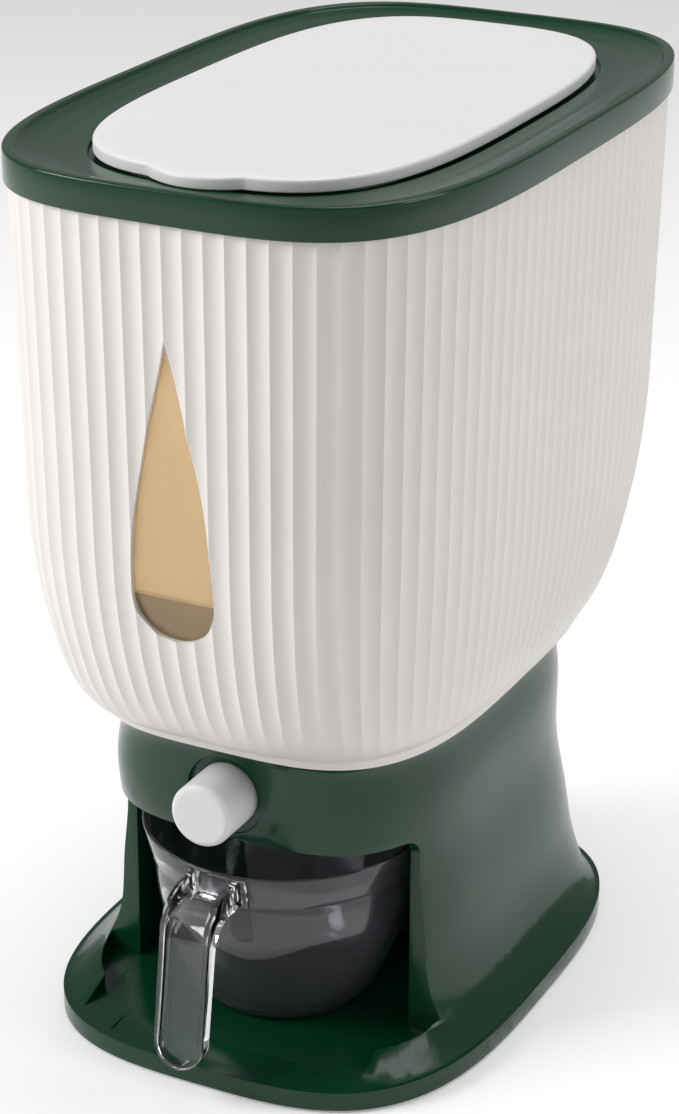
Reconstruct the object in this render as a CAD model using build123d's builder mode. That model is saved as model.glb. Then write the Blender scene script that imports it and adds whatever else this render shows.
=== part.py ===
"""Countertop rice dispenser: a fluted tank on a pedestal, with a push button over a pull-out cup.

Millimetres, +Z up, front towards -Y. The origin is on the floor, below the middle of the tank.
"""
import math
import os

from build123d import *

os.makedirs("parts", exist_ok=True)

# ---------------------------------------------------------------- tank, collar and lid
TOP_Z = 420.0                 # top of the collar rim
TANK_HALF_X = 107.4           # tank just under the collar, half width and half depth
TANK_HALF_Y = 172.2
TANK_DRAFT = 0.018            # the tank walls lean in by this much per mm going down
TANK_FULLNESS = 3.7           # 2 is an ellipse, a large value is a rectangle
WALL = 2.6                    # tank wall
FLUTES = 104                  # scalloped flutes around the tank
FLUTE_DEPTH = 0.9
FLUTE_FADE = 30.0             # the flutes fade out over this height above the band
KNEE_Z = 262.0                # below this height the tank curves in
COLLAR_HALF_X = 109.0
COLLAR_HALF_Y = 173.9
COLLAR_SKIRT = 14.1           # height of the collar's outer band
COLLAR_PLAY = 0.25            # play round the outside of the tank's rim
COLLAR_HOLLOW = 5.1           # the collar is hollow up to this height above its lower edge
LEDGE_Z = 415.0               # rim that the lid lies on
GROOVE = 2.0                  # the groove round the lid is this wide and this deep
CURB = 4.5                    # width of the raised rim round the mouth
DISH = [(4.2, TOP_Z + 1), (5.2, 418.4), (9, 417), (16, 415.8), (28, LEDGE_Z)]   # set in, height
LID_HALF_X = 78.9
LID_HALF_Y = 145.0
LID_FULLNESS = 3.2
LID_TOP = 421.0
TAB_EDGE = [(-27, -143.6), (-15, -150.8), (0, -152.6), (15, -150.8), (27, -143.6)]   # finger lip
LIP_ROOT = -120.0             # the lip's outline ends inside the lid here
LIP_BOW = 0.15                # slope of the lip's edge where it leaves the lid
LID_T = 2.6
PLUG_Z = 404.5                # lower edge of the rim under the lid
PLUG_GAP = 3.0                # room between that rim and the mouth, for the seal
PLUG_T = 2.2
LID_SEAL_RISE = 1.5           # the lid's seal sits this far above the rim's lower edge
LID_SEAL_H = 3.0
SEAL_FIT = 0.05
MOUTH_HALF_X = 70.0           # filling mouth inside the collar
MOUTH_HALF_Y = 136.0
MOUTH_WALL = 2.5              # wall that hangs down round the mouth
MOUTH_DROP = 17.0             # its lower edge, below the collar's top
MOUTH_WALL_H = 8.0
MOUTH_CUT = 20.0              # depth of the cut that clears the mouth
WINDOW_TIP = 357.7
WINDOW_WAIST = (14.8, 292.0)  # a point on the window's side
WINDOW_MID = 243.5            # centre of the round lower end
WINDOW_R = 19.4
WINDOW_SLANT = 0.24           # the window's sides lean in by this much per mm at the tip
TIP_GROWTH = 3.2              # a wider copy of the window reaches up by this many times its widening
LENS_LAP = 3.0                # the lens laps the opening by this much, behind the wall
LENS_T = 1.8
LENS_FIT = 0.02
FRONT_CUT = 30.0              # depth of a cut through the tank's front wall
SPIGOT_GAP = 0.4              # play between the tank's wall and a rim that stands inside it

# ---------------------------------------------------------------- hopper and flange
SEAT_Z = 158.2                # the tank's flange sits on the base here
BAND = 4.5                    # height of the smooth band under the flutes
SEAM = 0.5                    # shadow gap between the band and the flutes
FLANGE_HALF_X = 87.4
FLANGE_FRONT = -131.8
FLANGE_BACK = 125.6
FLANGE_FULLNESS = 3.5
SPIGOT_T = 2.2                # rim of the hopper that stands inside the tank's foot
SPIGOT_H = 3.5
HOPPER_T = 2.4
FUNNEL_Z = 276.0              # height of the funnel's rim at mid depth
FUNNEL_TILT = math.radians(12)
FUNNEL_HALF_X = 101.0
FUNNEL_HALF_Y = 162.0
FUNNEL_FULLNESS = 3.5
THROAT_FULLNESS = 6.0
THROAT_H = 12.0               # height of the chute and the screw bosses above the seat
CHUTE_Y = -70.0               # the rice falls here
CHUTE_X = 46.0
CHUTE_D = 13.0
CHUTE_R = 4.0
THROAT_LIP = 1.0              # the funnel's throat is this much wider than the chute all round

# ---------------------------------------------------------------- gate and button
GAP = 0.3                     # running clearance of what slides
GATE_TRAVEL = 15.0
GATE_Z = 132.5                # underside of the gate slider
GATE_T = 3.0
GATE_HALF_X = 40.0            # plates above and below the slider
GATE_FRONT = -100.0
GATE_BACK = -27.0
GATE_CORNER = 4.0
PLATE = 3.0
SPRING_PLATE = (32.0, 26.0, 5.0)   # upright wall behind the spring: width, height, corner
SPRING_SEAT = 2.5             # stub that centres the spring
SLIDER_HALF_X = 28.0
SLIDER_FRONT = -97.0
SLIDER_BACK = -44.0
SLIDER_CORNER = 3.0
TONGUE_X = 12.0               # tongue that reaches forward into the button
TONGUE_FRONT = -142.0
TONGUE_LAP = 2.0              # the tongue starts this far inside the slide
SEAL_T = 1.8
SPOUT_Z = 109.0
TUBE_WALL = 2.5               # wall of the chute between the hopper and the spout's end
BOSSES = [(-34, -94), (34, -94), (-34, -34), (34, -34)]
BOSS_R = 4.2
BOSS_H = 4.0                  # height of the bosses under the gate
SCREW_R = 1.6
HEAD_R = 3.1
BUTTON_Z = 134.0
BUTTON_R = 14.75
BUTTON_FACE = -149.0
BUTTON_BACK = -119.0
BUTTON_ROUND = 3.0
BUTTON_WALL = 2.2
BUTTON_FACE_T = 3.0
BUTTON_BOSS_R = 7.6
BUTTON_BOSS_END = -134.0
BUTTON_BOSS_CUT = 0.5         # the cut that shortens the boss is this much wider than it
PIN_Y = -138.0
PIN_R = 1.25
PIN_SHORT = 1.0               # the pin is this much shorter than the boss is wide
SPRING_R = 9.6                # middle of the wire
SPRING_WIRE_R = 0.8
SPRING_TURNS = 5
RECESS_Y = -123.3             # flat round recess in the fascia
RECESS_R = 19.0
RECESS_BACK = -118.5          # back of the thick ring behind the recess
RECESS_WALL = 2.5             # the thick ring is this much wider than the recess
RECESS_CUT = 20.0
BUSH_HOLE_BACK = -110.0
BUSH_FLANGE_R = 18.7
BUSH_FLANGE_T = 0.8
BUSH_R = 16.8
BUSH_DEPTH = 9.0
BUSH_FIT = 0.1

# ---------------------------------------------------------------- base
FOOT_HALF_X = 107.7
FOOT_FRONT = -154.1
FOOT_BACK = 127.2
FOOT_FULLNESS = 3.2
FOOT_RIM = 10.5               # height of the foot's vertical edge
FOOT_STEP = 2.0               # ledge between that edge and the slope
FOOT_WALL = 3.2
GROUND_GAP = 1.5              # the rubber pads hold the base this far off the floor
SHOULDER_Z = 21.0             # here the foot's slope meets the neck
SLOPE_TOP = (91.0, -127.0, 122.0, 22.4)   # upper edge of the foot's slope, hidden in the neck
NECK_FULLNESS = 3.5
SHELL = 3.0                   # wall of the base housing
# half width, front, back and height of each level of the neck
NECK = [
    (96.0, -132.0, 123.2, 12.5),
    (93.0, -129.0, 122.8, SHOULDER_Z),
    (89.4, -125.0, 121.8, 30.0),
    (86.4, -122.0, 119.0, 46.0),
    (83.6, -121.5, 111.5, 76.0),
    (81.6, -123.6, 107.6, 112.0),
    (81.2, -126.4, 107.6, 134.0),
    (82.6, -129.8, 110.0, SEAT_Z),
]
BAY_HALF_X = 70.5             # cup bay between the two columns
BAY_FLOOR = 12.0
BAY_TOP = 112.0
FLOOR_T = 3.5
HOLLOW_LAP = 0.1              # the neck's hollow starts this far below the foot's ceiling
HOLLOW_STEP = 5.0             # at its lowest level the neck's hollow is set in by this much
ACROSS = 120.0                # half width of a cut across the whole base, and reach of one to the front
PAST_FRONT = -220.0           # a cut in side view starts here, in front of everything
COLUMN_FRONT = -84.0          # front face of the two columns
COLUMN_CORNER = 10.0          # round corner between a column and the fascia
RAMP_HALF_X = 50.0            # the floor runs out to the foot's edge over this half width
RAMP_TOP = 40.0
# side view of the ramp's cut: the floor, its slope to the foot's edge, and up
RAMP = [
    (-120.0, BAY_FLOOR), (-129.0, BAY_FLOOR), (-152.4, FOOT_RIM + 0.2),
    (-152.4, RAMP_TOP), (-120.0, RAMP_TOP),
]
# plan of the floor's front corner, from the column to the ramp
POCKET = [(85.5, COLUMN_FRONT), (83.5, -96.0), (74.5, -112.0), (55.0, -127.0)]
POCKET_TURN = 0.45            # slope of that corner where it meets the ramp
FRONT_POSTS = [(-58, -86), (58, -86)]   # screw posts that stand on the deck over the bay
REAR_POSTS = [(-70, 58), (70, 58)]      # screw posts webbed to the rear walls
POST_R = 5.0
POST_Z = 128.0
WEB_SHIFT = 1.1               # the webs are centred this much further out than their posts
WEB_T = 4.0
SPOUT_PLAY = 0.5              # room round the spout in the bay's ceiling
SCREW_PLAY = 0.4              # room round a screw that passes through
PLATE_POST_R = 4.0
PLATE_SCREWS = [(-88, -92), (88, -92), (-97, 0), (97, 0), (-84, 92), (84, 92)]
PADS = {
    "front_left": (-62, -122), "front_right": (62, -122),
    "rear_left": (-67, 93), "rear_right": (67, 93),
}
PAD_R = 9.0
PAD_SINK = 1.4                # depth of the pads' and screw heads' recesses in the plate
PAD_EDGE = 0.8
PLATE_FIT = 0.2               # room round the plate, its screws and its pads
PLATE_SCREW = (5.0, 1.3)      # shank length and head height
GATE_SCREW = (40.0, 2.2)
TANK_SCREW = (40.0, 2.4)

# ---------------------------------------------------------------- cup
CUP_Y = -70.0                 # cup axis
CUP_Z = BAY_FLOOR + GAP
CUP_RIM_R = 65.4
CUP_RIM_Z = 99.6
CUP_WALL = 2.2
CUP_FLOOR_T = 4.0
CUP_BAND_Z = 83.0             # lower edge of the stepped band under the rim
CUP_BAND_R = 61.6
CUP_FLARE = 0.06              # slope of the cup's wall where it meets the band
# radius and height, from the cup's foot up the outside, round the band and rim, and down the inside
CUP_OUTSIDE = [(36, CUP_Z), (42, 16.5), (52.6, 40), (58.4, 62), (60.2, CUP_BAND_Z)]
CUP_BAND = [
    (60.2, CUP_BAND_Z), (CUP_BAND_R, CUP_BAND_Z), (CUP_RIM_R, CUP_RIM_Z),
    (CUP_RIM_R - CUP_WALL, CUP_RIM_Z), (58.4, 80),
]
CUP_INSIDE = [(58.4, 80), (56.0, 61), (50.2, 41), (41.0, 22), (33, CUP_Z + CUP_FLOOR_T)]
HANDLE_HALF_X = 12.0
HANDLE_OUTER = [(-125, 98.9), (-162.0, 98.9), (-173.7, 16)]   # side view, away from the cup
HANDLE_INNER = [(-125, 86.0), (-156.0, 86.0), (-167.3, 16)]   # side view, towards the cup
HANDLE_END = 20.0             # lowest point of its round end
HANDLE_WALL = 2.6
HANDLE_BEND = 18.0            # outer radius of its bend
HANDLE_BEND_STEP = 4.0        # the inner radius is this much smaller
HANDLE_START = 120.0          # its front view is drawn this far in front of the tank's middle
HANDLE_REACH = 80.0           # and reaches this far forward
HANDLE_TALL = 90.0
CHANNEL_OPEN = 12.0           # the channel's cut runs this far past the handle's outside
BAND_LAP = 2.0                # the band's cone is drawn this much longer at both ends
PLATE_CUT = 30.0              # depth of the box that trims the mount from the cone
HANDLE_PLATE = (28.0, 1.5, 15.2)   # mount on the cup's band: width, thickness, height

# ---------------------------------------------------------------- worked out from the above
TANK_FOOT_Z = SEAT_Z + BAND + SEAM
TANK_TOP_Z = TOP_Z - 4.5
TANK_LEVELS = [TANK_FOOT_Z, 165.5, 170.5, 179, 193, 214, 240, KNEE_Z, 330, TANK_TOP_Z]
LID_BASE = LEDGE_Z + GAP
DECK_Z = BAY_TOP + SHELL
PLATE_IN = FOOT_WALL + PLATE_FIT
FOOT_CEILING = BAY_FLOOR - FLOOR_T
HOLLOW_LOW = FOOT_CEILING - HOLLOW_LAP
GATE_TOP = GATE_Z + GATE_T + GAP
GATE_LOW = GATE_Z - GAP
TONGUE_ROOT = SLIDER_FRONT + TONGUE_LAP
GATE_MID = (GATE_FRONT + GATE_BACK) / 2
GATE_HEADS = GATE_LOW - PLATE - BOSS_H
TUBE = (CHUTE_X + 2 * TUBE_WALL, CHUTE_D + 2 * TUBE_WALL, CHUTE_R + TUBE_WALL)
SPRING_BACK = GATE_FRONT - PLATE - GAP
SPRING_FRONT = BUTTON_FACE + BUTTON_FACE_T + GAP
SPRING_LENGTH = SPRING_BACK - SPRING_FRONT - 2 * SPRING_WIRE_R
POSTS = FRONT_POSTS + REAR_POSTS


# ---------------------------------------------------------------- outlines
def superellipse(half_x, front, back, fullness, share):
    """Point on a rounded-box outline, with share running once around it from 0 to 1."""
    angle = 2 * math.pi * share
    cosine, sine = math.cos(angle), math.sin(angle)
    half_y, mid_y = (back - front) / 2, (back + front) / 2
    x = math.copysign(abs(cosine) ** (2 / fullness), cosine) * half_x
    y = math.copysign(abs(sine) ** (2 / fullness), sine) * half_y
    return (x, mid_y + y)


def even_points(half_x, front, back, fullness, count):
    """Points evenly spaced along the outline, from a finely stepped walk around it."""
    steps = 1440
    walk = [superellipse(half_x, front, back, fullness, i / steps) for i in range(steps + 1)]
    reach = [0.0]
    for one, two in zip(walk, walk[1:]):
        reach.append(reach[-1] + math.dist(one, two))
    points, at = [], 0
    for i in range(count):
        goal = reach[-1] * i / count
        while reach[at + 1] < goal:
            at += 1
        part = (goal - reach[at]) / (reach[at + 1] - reach[at])
        (x0, y0), (x1, y1) = walk[at], walk[at + 1]
        points.append((x0 + (x1 - x0) * part, y0 + (y1 - y0) * part))
    return points


def outline(half_x, front, back, fullness, mode=Mode.ADD, count=36):
    """Smooth closed curve through the outline's points, made a face in the open sketch."""
    with BuildLine() as edge:
        Spline(*even_points(half_x, front, back, fullness, count), periodic=True)
    make_face(edge.edges(), mode=mode)


def mouth(grow=0.0, mode=Mode.ADD):
    """Outline of the filling mouth, wider by grow."""
    outline(MOUTH_HALF_X + grow, -MOUTH_HALF_Y - grow, MOUTH_HALF_Y + grow, LID_FULLNESS, mode)


def tank_size(z, inset=0.0):
    """Half width, front, back and fullness of the tank at a height, set in by a wall."""
    lean = max(0.0, TOP_Z - COLLAR_SKIRT - z) * TANK_DRAFT
    bend = max(0.0, (KNEE_Z - z) / (KNEE_Z - TANK_FOOT_Z))
    keep = math.sqrt(max(0.0, 1 - bend**2))
    half_x = FLANGE_HALF_X + (TANK_HALF_X - lean - FLANGE_HALF_X) * keep
    front = FLANGE_FRONT - (TANK_HALF_Y - lean + FLANGE_FRONT) * keep
    back = FLANGE_BACK + (TANK_HALF_Y - lean - FLANGE_BACK) * keep
    fullness = TANK_FULLNESS - 0.25 * min(1.0, bend * 1.6)
    return (half_x - inset, front + inset, back - inset, fullness)


def tank_core(inset, levels):
    """Smooth solid that follows the tank, set in from its ridges."""
    with BuildPart() as core:
        for level in levels:
            with BuildSketch(Plane.XY.offset(level)):
                outline(*tank_size(level, inset))
        loft(ruled=True)
    return core.part


def fluted_ring(level):
    """Closed wire of shallow hollow arcs that meet in sharp ridges, fading out at the foot."""
    depth = FLUTE_DEPTH * min(1.0, max(0.08, (level - TANK_FOOT_Z) / FLUTE_FADE))
    points = even_points(*tank_size(level), FLUTES)
    arcs = []
    for (x0, y0), (x1, y1) in zip(points, points[1:] + points[:1]):
        chord = math.hypot(x1 - x0, y1 - y0)
        middle_x = (x0 + x1) / 2 - (y1 - y0) / chord * depth
        middle_y = (y0 + y1) / 2 + (x1 - x0) / chord * depth
        arcs.append(
            Edge.make_three_point_arc((x0, y0, level), (middle_x, middle_y, level), (x1, y1, level))
        )
    return Wire(arcs)


def finish(builder, name):
    """Label a finished piece and write it."""
    builder.part.label = name
    export_step(builder.part, f"parts/{name}.step")


# ---------------------------------------------------------------- tank
tank_outside = Solid.make_loft([fluted_ring(level) for level in TANK_LEVELS], ruled=True)
tank_inside = tank_core(WALL, TANK_LEVELS)
outer_caps = [tank_outside.faces().sort_by(Axis.Z)[0], tank_outside.faces().sort_by(Axis.Z)[-1]]
inner_caps = [tank_inside.faces().sort_by(Axis.Z)[0], tank_inside.faces().sort_by(Axis.Z)[-1]]
tank_sides = [f for f in tank_outside.faces() if f not in outer_caps]
tank_sides += [f for f in tank_inside.faces() if f not in inner_caps]
tank_rims = [Face(o.outer_wire(), [i.outer_wire()]) for o, i in zip(outer_caps, inner_caps)]
WINDOW_PLANE = Plane.XZ.offset(TANK_HALF_Y + 5)   # just in front of the tank


def teardrop(grow=0.0):
    """Window outline, round below and pointed above, widened by grow."""
    side = WINDOW_R + grow
    waist = (WINDOW_WAIST[0] + grow, WINDOW_WAIST[1])
    tip = (0, WINDOW_TIP + TIP_GROWTH * grow)
    with BuildLine() as edge:
        ThreePointArc((-side, WINDOW_MID), (0, WINDOW_MID - side), (side, WINDOW_MID))
        Spline((side, WINDOW_MID), waist, tip, tangents=[(0, 1), (-WINDOW_SLANT, 1)])
        Spline(tip, (-waist[0], waist[1]), (-side, WINDOW_MID), tangents=[(-WINDOW_SLANT, -1), (0, -1)])
    make_face(edge.edges())


with BuildPart() as tank_shell:
    add(Solid(Shell(tank_sides + tank_rims)))
    with BuildSketch(WINDOW_PLANE):
        teardrop()
    extrude(amount=-FRONT_CUT, mode=Mode.SUBTRACT, clean=False)
finish(tank_shell, "tank_shell")

with BuildPart() as window_lens:
    with BuildSketch(WINDOW_PLANE):
        teardrop(LENS_LAP)
    extrude(amount=-FRONT_CUT)
    add(tank_core(WALL + LENS_FIT, TANK_LEVELS), mode=Mode.INTERSECT)
    add(tank_core(WALL + LENS_T, TANK_LEVELS), mode=Mode.SUBTRACT)
finish(window_lens, "window_lens")

# ---------------------------------------------------------------- collar
with BuildPart() as collar:
    with BuildSketch(Plane.XY.offset(TOP_Z - COLLAR_SKIRT)):
        outline(COLLAR_HALF_X, -COLLAR_HALF_Y, COLLAR_HALF_Y, TANK_FULLNESS)
    extrude(amount=COLLAR_SKIRT)
    for inset, level in DISH:
        with BuildSketch(Plane.XY.offset(level)):
            outline(COLLAR_HALF_X - inset, inset - COLLAR_HALF_Y, COLLAR_HALF_Y - inset, TANK_FULLNESS)
    loft(mode=Mode.SUBTRACT)
    with BuildSketch(Plane.XY.offset(LEDGE_Z - GROOVE)):
        outline(LID_HALF_X + GROOVE, -LID_HALF_Y - GROOVE, LID_HALF_Y + GROOVE, LID_FULLNESS)
        mouth(CURB, Mode.SUBTRACT)
    extrude(amount=2 * GROOVE, mode=Mode.SUBTRACT)
    with BuildSketch(Plane.XY.offset(TOP_Z - COLLAR_SKIRT)):
        outline(*tank_size(TANK_TOP_Z, WALL + SPIGOT_GAP))
    extrude(amount=COLLAR_HOLLOW, mode=Mode.SUBTRACT)
    with BuildSketch(Plane.XY.offset(TOP_Z - COLLAR_SKIRT)):
        outline(
            TANK_HALF_X + COLLAR_PLAY, -TANK_HALF_Y - COLLAR_PLAY, TANK_HALF_Y + COLLAR_PLAY, TANK_FULLNESS,
        )
        outline(*tank_size(TANK_TOP_Z, WALL + SPIGOT_GAP), Mode.SUBTRACT)
    extrude(amount=TANK_TOP_Z - TOP_Z + COLLAR_SKIRT, mode=Mode.SUBTRACT)
    with BuildSketch(Plane.XY.offset(TOP_Z - MOUTH_DROP)):
        mouth(MOUTH_WALL)
    extrude(amount=MOUTH_WALL_H)
    with BuildSketch(Plane.XY.offset(TOP_Z - MOUTH_CUT)):
        mouth()
    extrude(amount=MOUTH_CUT, mode=Mode.SUBTRACT)
finish(collar, "collar")

# ---------------------------------------------------------------- lid
with BuildPart() as lid_cover:
    with BuildSketch(Plane.XY.offset(LID_BASE)):
        outline(LID_HALF_X, -LID_HALF_Y, LID_HALF_Y, LID_FULLNESS)
        with BuildLine() as lip:
            Spline(*TAB_EDGE, tangents=[(1, -LIP_BOW), (1, LIP_BOW)])
            Line(TAB_EDGE[-1], (TAB_EDGE[-1][0], LIP_ROOT))
            Line((TAB_EDGE[-1][0], LIP_ROOT), (TAB_EDGE[0][0], LIP_ROOT))
            Line((TAB_EDGE[0][0], LIP_ROOT), TAB_EDGE[0])
        make_face(lip.edges())
    extrude(amount=LID_TOP - LID_BASE)
    with BuildSketch(Plane.XY.offset(PLUG_Z)):
        mouth(-PLUG_GAP)
    extrude(amount=LID_BASE - PLUG_Z)
    with BuildSketch(Plane.XY.offset(PLUG_Z)):
        mouth(-PLUG_GAP - PLUG_T)
    extrude(amount=LID_TOP - LID_T - PLUG_Z, mode=Mode.SUBTRACT)
finish(lid_cover, "lid_cover")

with BuildPart() as lid_seal:
    with BuildSketch(Plane.XY.offset(PLUG_Z + LID_SEAL_RISE)):
        mouth(-GAP)
        mouth(SEAL_FIT - PLUG_GAP, Mode.SUBTRACT)
    extrude(amount=LID_SEAL_H)
finish(lid_seal, "lid_seal")

# ---------------------------------------------------------------- hopper
FUNNEL_PLANE = Plane(
    origin=(0, 0, FUNNEL_Z),
    x_dir=(1, 0, 0),
    z_dir=(0, -math.sin(FUNNEL_TILT), math.cos(FUNNEL_TILT)),
)
THROAT = Plane.XY.offset(SEAT_Z + THROAT_H)


def funnel(inset):
    """Sloping floor from the tank's walls down to the chute, wider at the top and tilted."""
    reach = FUNNEL_HALF_Y / math.cos(FUNNEL_TILT) - inset
    wider = THROAT_LIP + HOPPER_T - inset
    half_x, half_y = CHUTE_X / 2 + wider, CHUTE_D / 2 + wider
    with BuildSketch(FUNNEL_PLANE) as rim:
        outline(FUNNEL_HALF_X - inset, -reach, reach, FUNNEL_FULLNESS)
    with BuildSketch(THROAT) as throat:
        outline(half_x, CHUTE_Y - half_y, CHUTE_Y + half_y, THROAT_FULLNESS)
    return [rim.sketch, throat.sketch]


with BuildPart() as hopper:
    loft(funnel(0), ruled=True)
    with BuildSketch(Plane.XY.offset(SEAT_Z)):
        outline(FLANGE_HALF_X, FLANGE_FRONT, FLANGE_BACK, FLANGE_FULLNESS)
    extrude(amount=BAND)
    with BuildSketch(Plane.XY.offset(SEAT_Z + BAND)):
        outline(*tank_size(TANK_FOOT_Z, WALL + SPIGOT_GAP))
        outline(*tank_size(TANK_FOOT_Z, WALL + SPIGOT_GAP + SPIGOT_T), Mode.SUBTRACT)
    extrude(amount=SPIGOT_H)
    with BuildSketch(Plane.XY.offset(SEAT_Z)):
        with Locations((0, CHUTE_Y)):
            RectangleRounded(CHUTE_X + 2 * HOPPER_T, CHUTE_D + 2 * HOPPER_T, CHUTE_R + HOPPER_T)
        with Locations(*POSTS, *BOSSES):
            Circle(POST_R)
    extrude(amount=THROAT_H)
    loft(funnel(HOPPER_T), ruled=True, mode=Mode.SUBTRACT)
    with BuildSketch(Plane.XY.offset(SEAT_Z)):
        with Locations((0, CHUTE_Y)):
            RectangleRounded(CHUTE_X, CHUTE_D, CHUTE_R)
        with Locations(*POSTS, *BOSSES):
            Circle(SCREW_R)
    extrude(amount=THROAT_H, mode=Mode.SUBTRACT)
finish(hopper, "hopper")

# ---------------------------------------------------------------- gate under the hopper
def chute_tube(low, high):
    """Chute passage with its wall, between two heights, added to the open part."""
    with BuildSketch(Plane.XY.offset(low)) as plan:
        with Locations((0, CHUTE_Y)):
            RectangleRounded(*TUBE)
    extrude(plan.sketch, amount=high - low)


def chute_hole(low, high):
    """Clear passage for the rice, cut from the open part."""
    with BuildSketch(Plane.XY.offset(low)) as plan:
        with Locations((0, CHUTE_Y)):
            RectangleRounded(CHUTE_X, CHUTE_D, CHUTE_R)
    extrude(plan.sketch, amount=high - low, mode=Mode.SUBTRACT)


with BuildPart() as gate_cover:
    with BuildSketch(Plane.XY.offset(GATE_TOP)):
        with Locations((0, GATE_MID)):
            RectangleRounded(2 * GATE_HALF_X, GATE_BACK - GATE_FRONT, GATE_CORNER)
    extrude(amount=PLATE)
    chute_tube(GATE_TOP + PLATE, SEAT_Z - SEAL_T)
    with BuildSketch(Plane.XY.offset(GATE_TOP + PLATE)):
        with Locations(*BOSSES):
            Circle(BOSS_R)
    extrude(amount=SEAT_Z - GATE_TOP - PLATE)
    chute_hole(GATE_TOP, SEAT_Z)
    with BuildSketch(Plane.XY.offset(GATE_TOP)):
        with Locations(*BOSSES):
            Circle(SCREW_R)
    extrude(amount=SEAT_Z - GATE_TOP, mode=Mode.SUBTRACT)
finish(gate_cover, "gate_cover")

with BuildPart() as chute_seal:
    with BuildSketch(Plane.XY.offset(SEAT_Z - SEAL_T)):
        with Locations((0, CHUTE_Y)):
            RectangleRounded(*TUBE)
            RectangleRounded(CHUTE_X, CHUTE_D, CHUTE_R, mode=Mode.SUBTRACT)
    extrude(amount=SEAL_T)
finish(chute_seal, "chute_seal")

with BuildPart() as gate_housing:
    with BuildSketch(Plane.XY.offset(GATE_LOW - PLATE)):
        with Locations((0, GATE_MID)):
            RectangleRounded(2 * GATE_HALF_X, GATE_BACK - GATE_FRONT, GATE_CORNER)
    extrude(amount=PLATE)
    with BuildSketch(Plane.XY.offset(GATE_LOW)):
        for side in (-1, 1):
            with Locations((side * (SLIDER_HALF_X + GAP + GATE_HALF_X) / 2, GATE_MID)):
                Rectangle(GATE_HALF_X - SLIDER_HALF_X - GAP, GATE_BACK - GATE_FRONT - 2 * GATE_CORNER)
    extrude(amount=GATE_TOP - GATE_LOW)
    with BuildSketch(Plane.XZ.offset(-GATE_FRONT)):
        with Locations((0, BUTTON_Z)):
            RectangleRounded(*SPRING_PLATE)
    extrude(amount=PLATE)
    with BuildSketch(Plane.XZ.offset(PLATE - GATE_FRONT)):
        with Locations((0, BUTTON_Z)):
            Circle(SPRING_R - SPRING_WIRE_R - GAP)
    extrude(amount=SPRING_SEAT)
    with BuildSketch(Plane.XZ.offset(-GATE_FRONT)):
        with Locations((0, GATE_Z + GATE_T / 2)):
            Rectangle(TONGUE_X + 2 * GAP, GATE_T + 2 * GAP)
    extrude(amount=2 * PLATE, mode=Mode.SUBTRACT)
    chute_tube(SPOUT_Z, GATE_LOW - PLATE)
    with BuildSketch(Plane.XY.offset(GATE_HEADS)):
        with Locations(*BOSSES):
            Circle(BOSS_R)
    extrude(amount=BOSS_H)
    chute_hole(SPOUT_Z, GATE_LOW)
    with BuildSketch(Plane.XY.offset(GATE_HEADS)):
        with Locations(*BOSSES):
            Circle(SCREW_R)
    extrude(amount=GATE_TOP, mode=Mode.SUBTRACT)
finish(gate_housing, "gate_housing")

with BuildPart() as gate_slider:
    with BuildSketch(Plane.XY.offset(GATE_Z)):
        with Locations((0, (SLIDER_FRONT + SLIDER_BACK) / 2)):
            RectangleRounded(2 * SLIDER_HALF_X, SLIDER_BACK - SLIDER_FRONT, SLIDER_CORNER)
        with Locations((0, (TONGUE_FRONT + TONGUE_ROOT) / 2)):
            Rectangle(TONGUE_X, TONGUE_ROOT - TONGUE_FRONT)
        with Locations((0, CHUTE_Y - GATE_TRAVEL)):
            RectangleRounded(CHUTE_X + 2 * GAP, CHUTE_D + 2 * GAP, CHUTE_R, mode=Mode.SUBTRACT)
        with Locations((0, PIN_Y)):
            Circle(PIN_R, mode=Mode.SUBTRACT)
    extrude(amount=GATE_T)
finish(gate_slider, "gate_slider")

# ---------------------------------------------------------------- button, spring and bush
with BuildPart() as button_cap:
    with BuildSketch(Plane.XZ.offset(-BUTTON_BACK)):
        with Locations((0, BUTTON_Z)):
            Circle(BUTTON_R)
    extrude(amount=BUTTON_BACK - BUTTON_FACE)
    fillet(button_cap.faces().sort_by(Axis.Y)[0].edges(), BUTTON_ROUND)
    with BuildSketch(Plane.XZ.offset(-BUTTON_BACK)):
        with Locations((0, BUTTON_Z)):
            Circle(BUTTON_R - BUTTON_WALL)
            Circle(BUTTON_BOSS_R, mode=Mode.SUBTRACT)
    extrude(amount=BUTTON_BACK - BUTTON_FACE - BUTTON_FACE_T, mode=Mode.SUBTRACT)
    with BuildSketch(Plane.XZ.offset(-BUTTON_BACK)):
        with Locations((0, BUTTON_Z)):
            Circle(BUTTON_BOSS_R + BUTTON_BOSS_CUT)
    extrude(amount=BUTTON_BACK - BUTTON_BOSS_END, mode=Mode.SUBTRACT)
    with BuildSketch(Plane.XZ.offset(-BUTTON_BOSS_END)):
        with Locations((0, GATE_Z + GATE_T / 2)):
            Rectangle(TONGUE_X, GATE_T)
    extrude(amount=BUTTON_BOSS_END - TONGUE_FRONT, mode=Mode.SUBTRACT)
    with BuildSketch(Plane.XY.offset(BUTTON_Z - BUTTON_BOSS_R)):
        with Locations((0, PIN_Y)):
            Circle(PIN_R)
    extrude(amount=2 * BUTTON_BOSS_R, mode=Mode.SUBTRACT)
finish(button_cap, "button_cap")

with BuildPart() as button_pin:
    with Locations((0, PIN_Y, BUTTON_Z)):
        Cylinder(PIN_R, 2 * BUTTON_BOSS_R - PIN_SHORT)
finish(button_pin, "button_pin")

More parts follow.
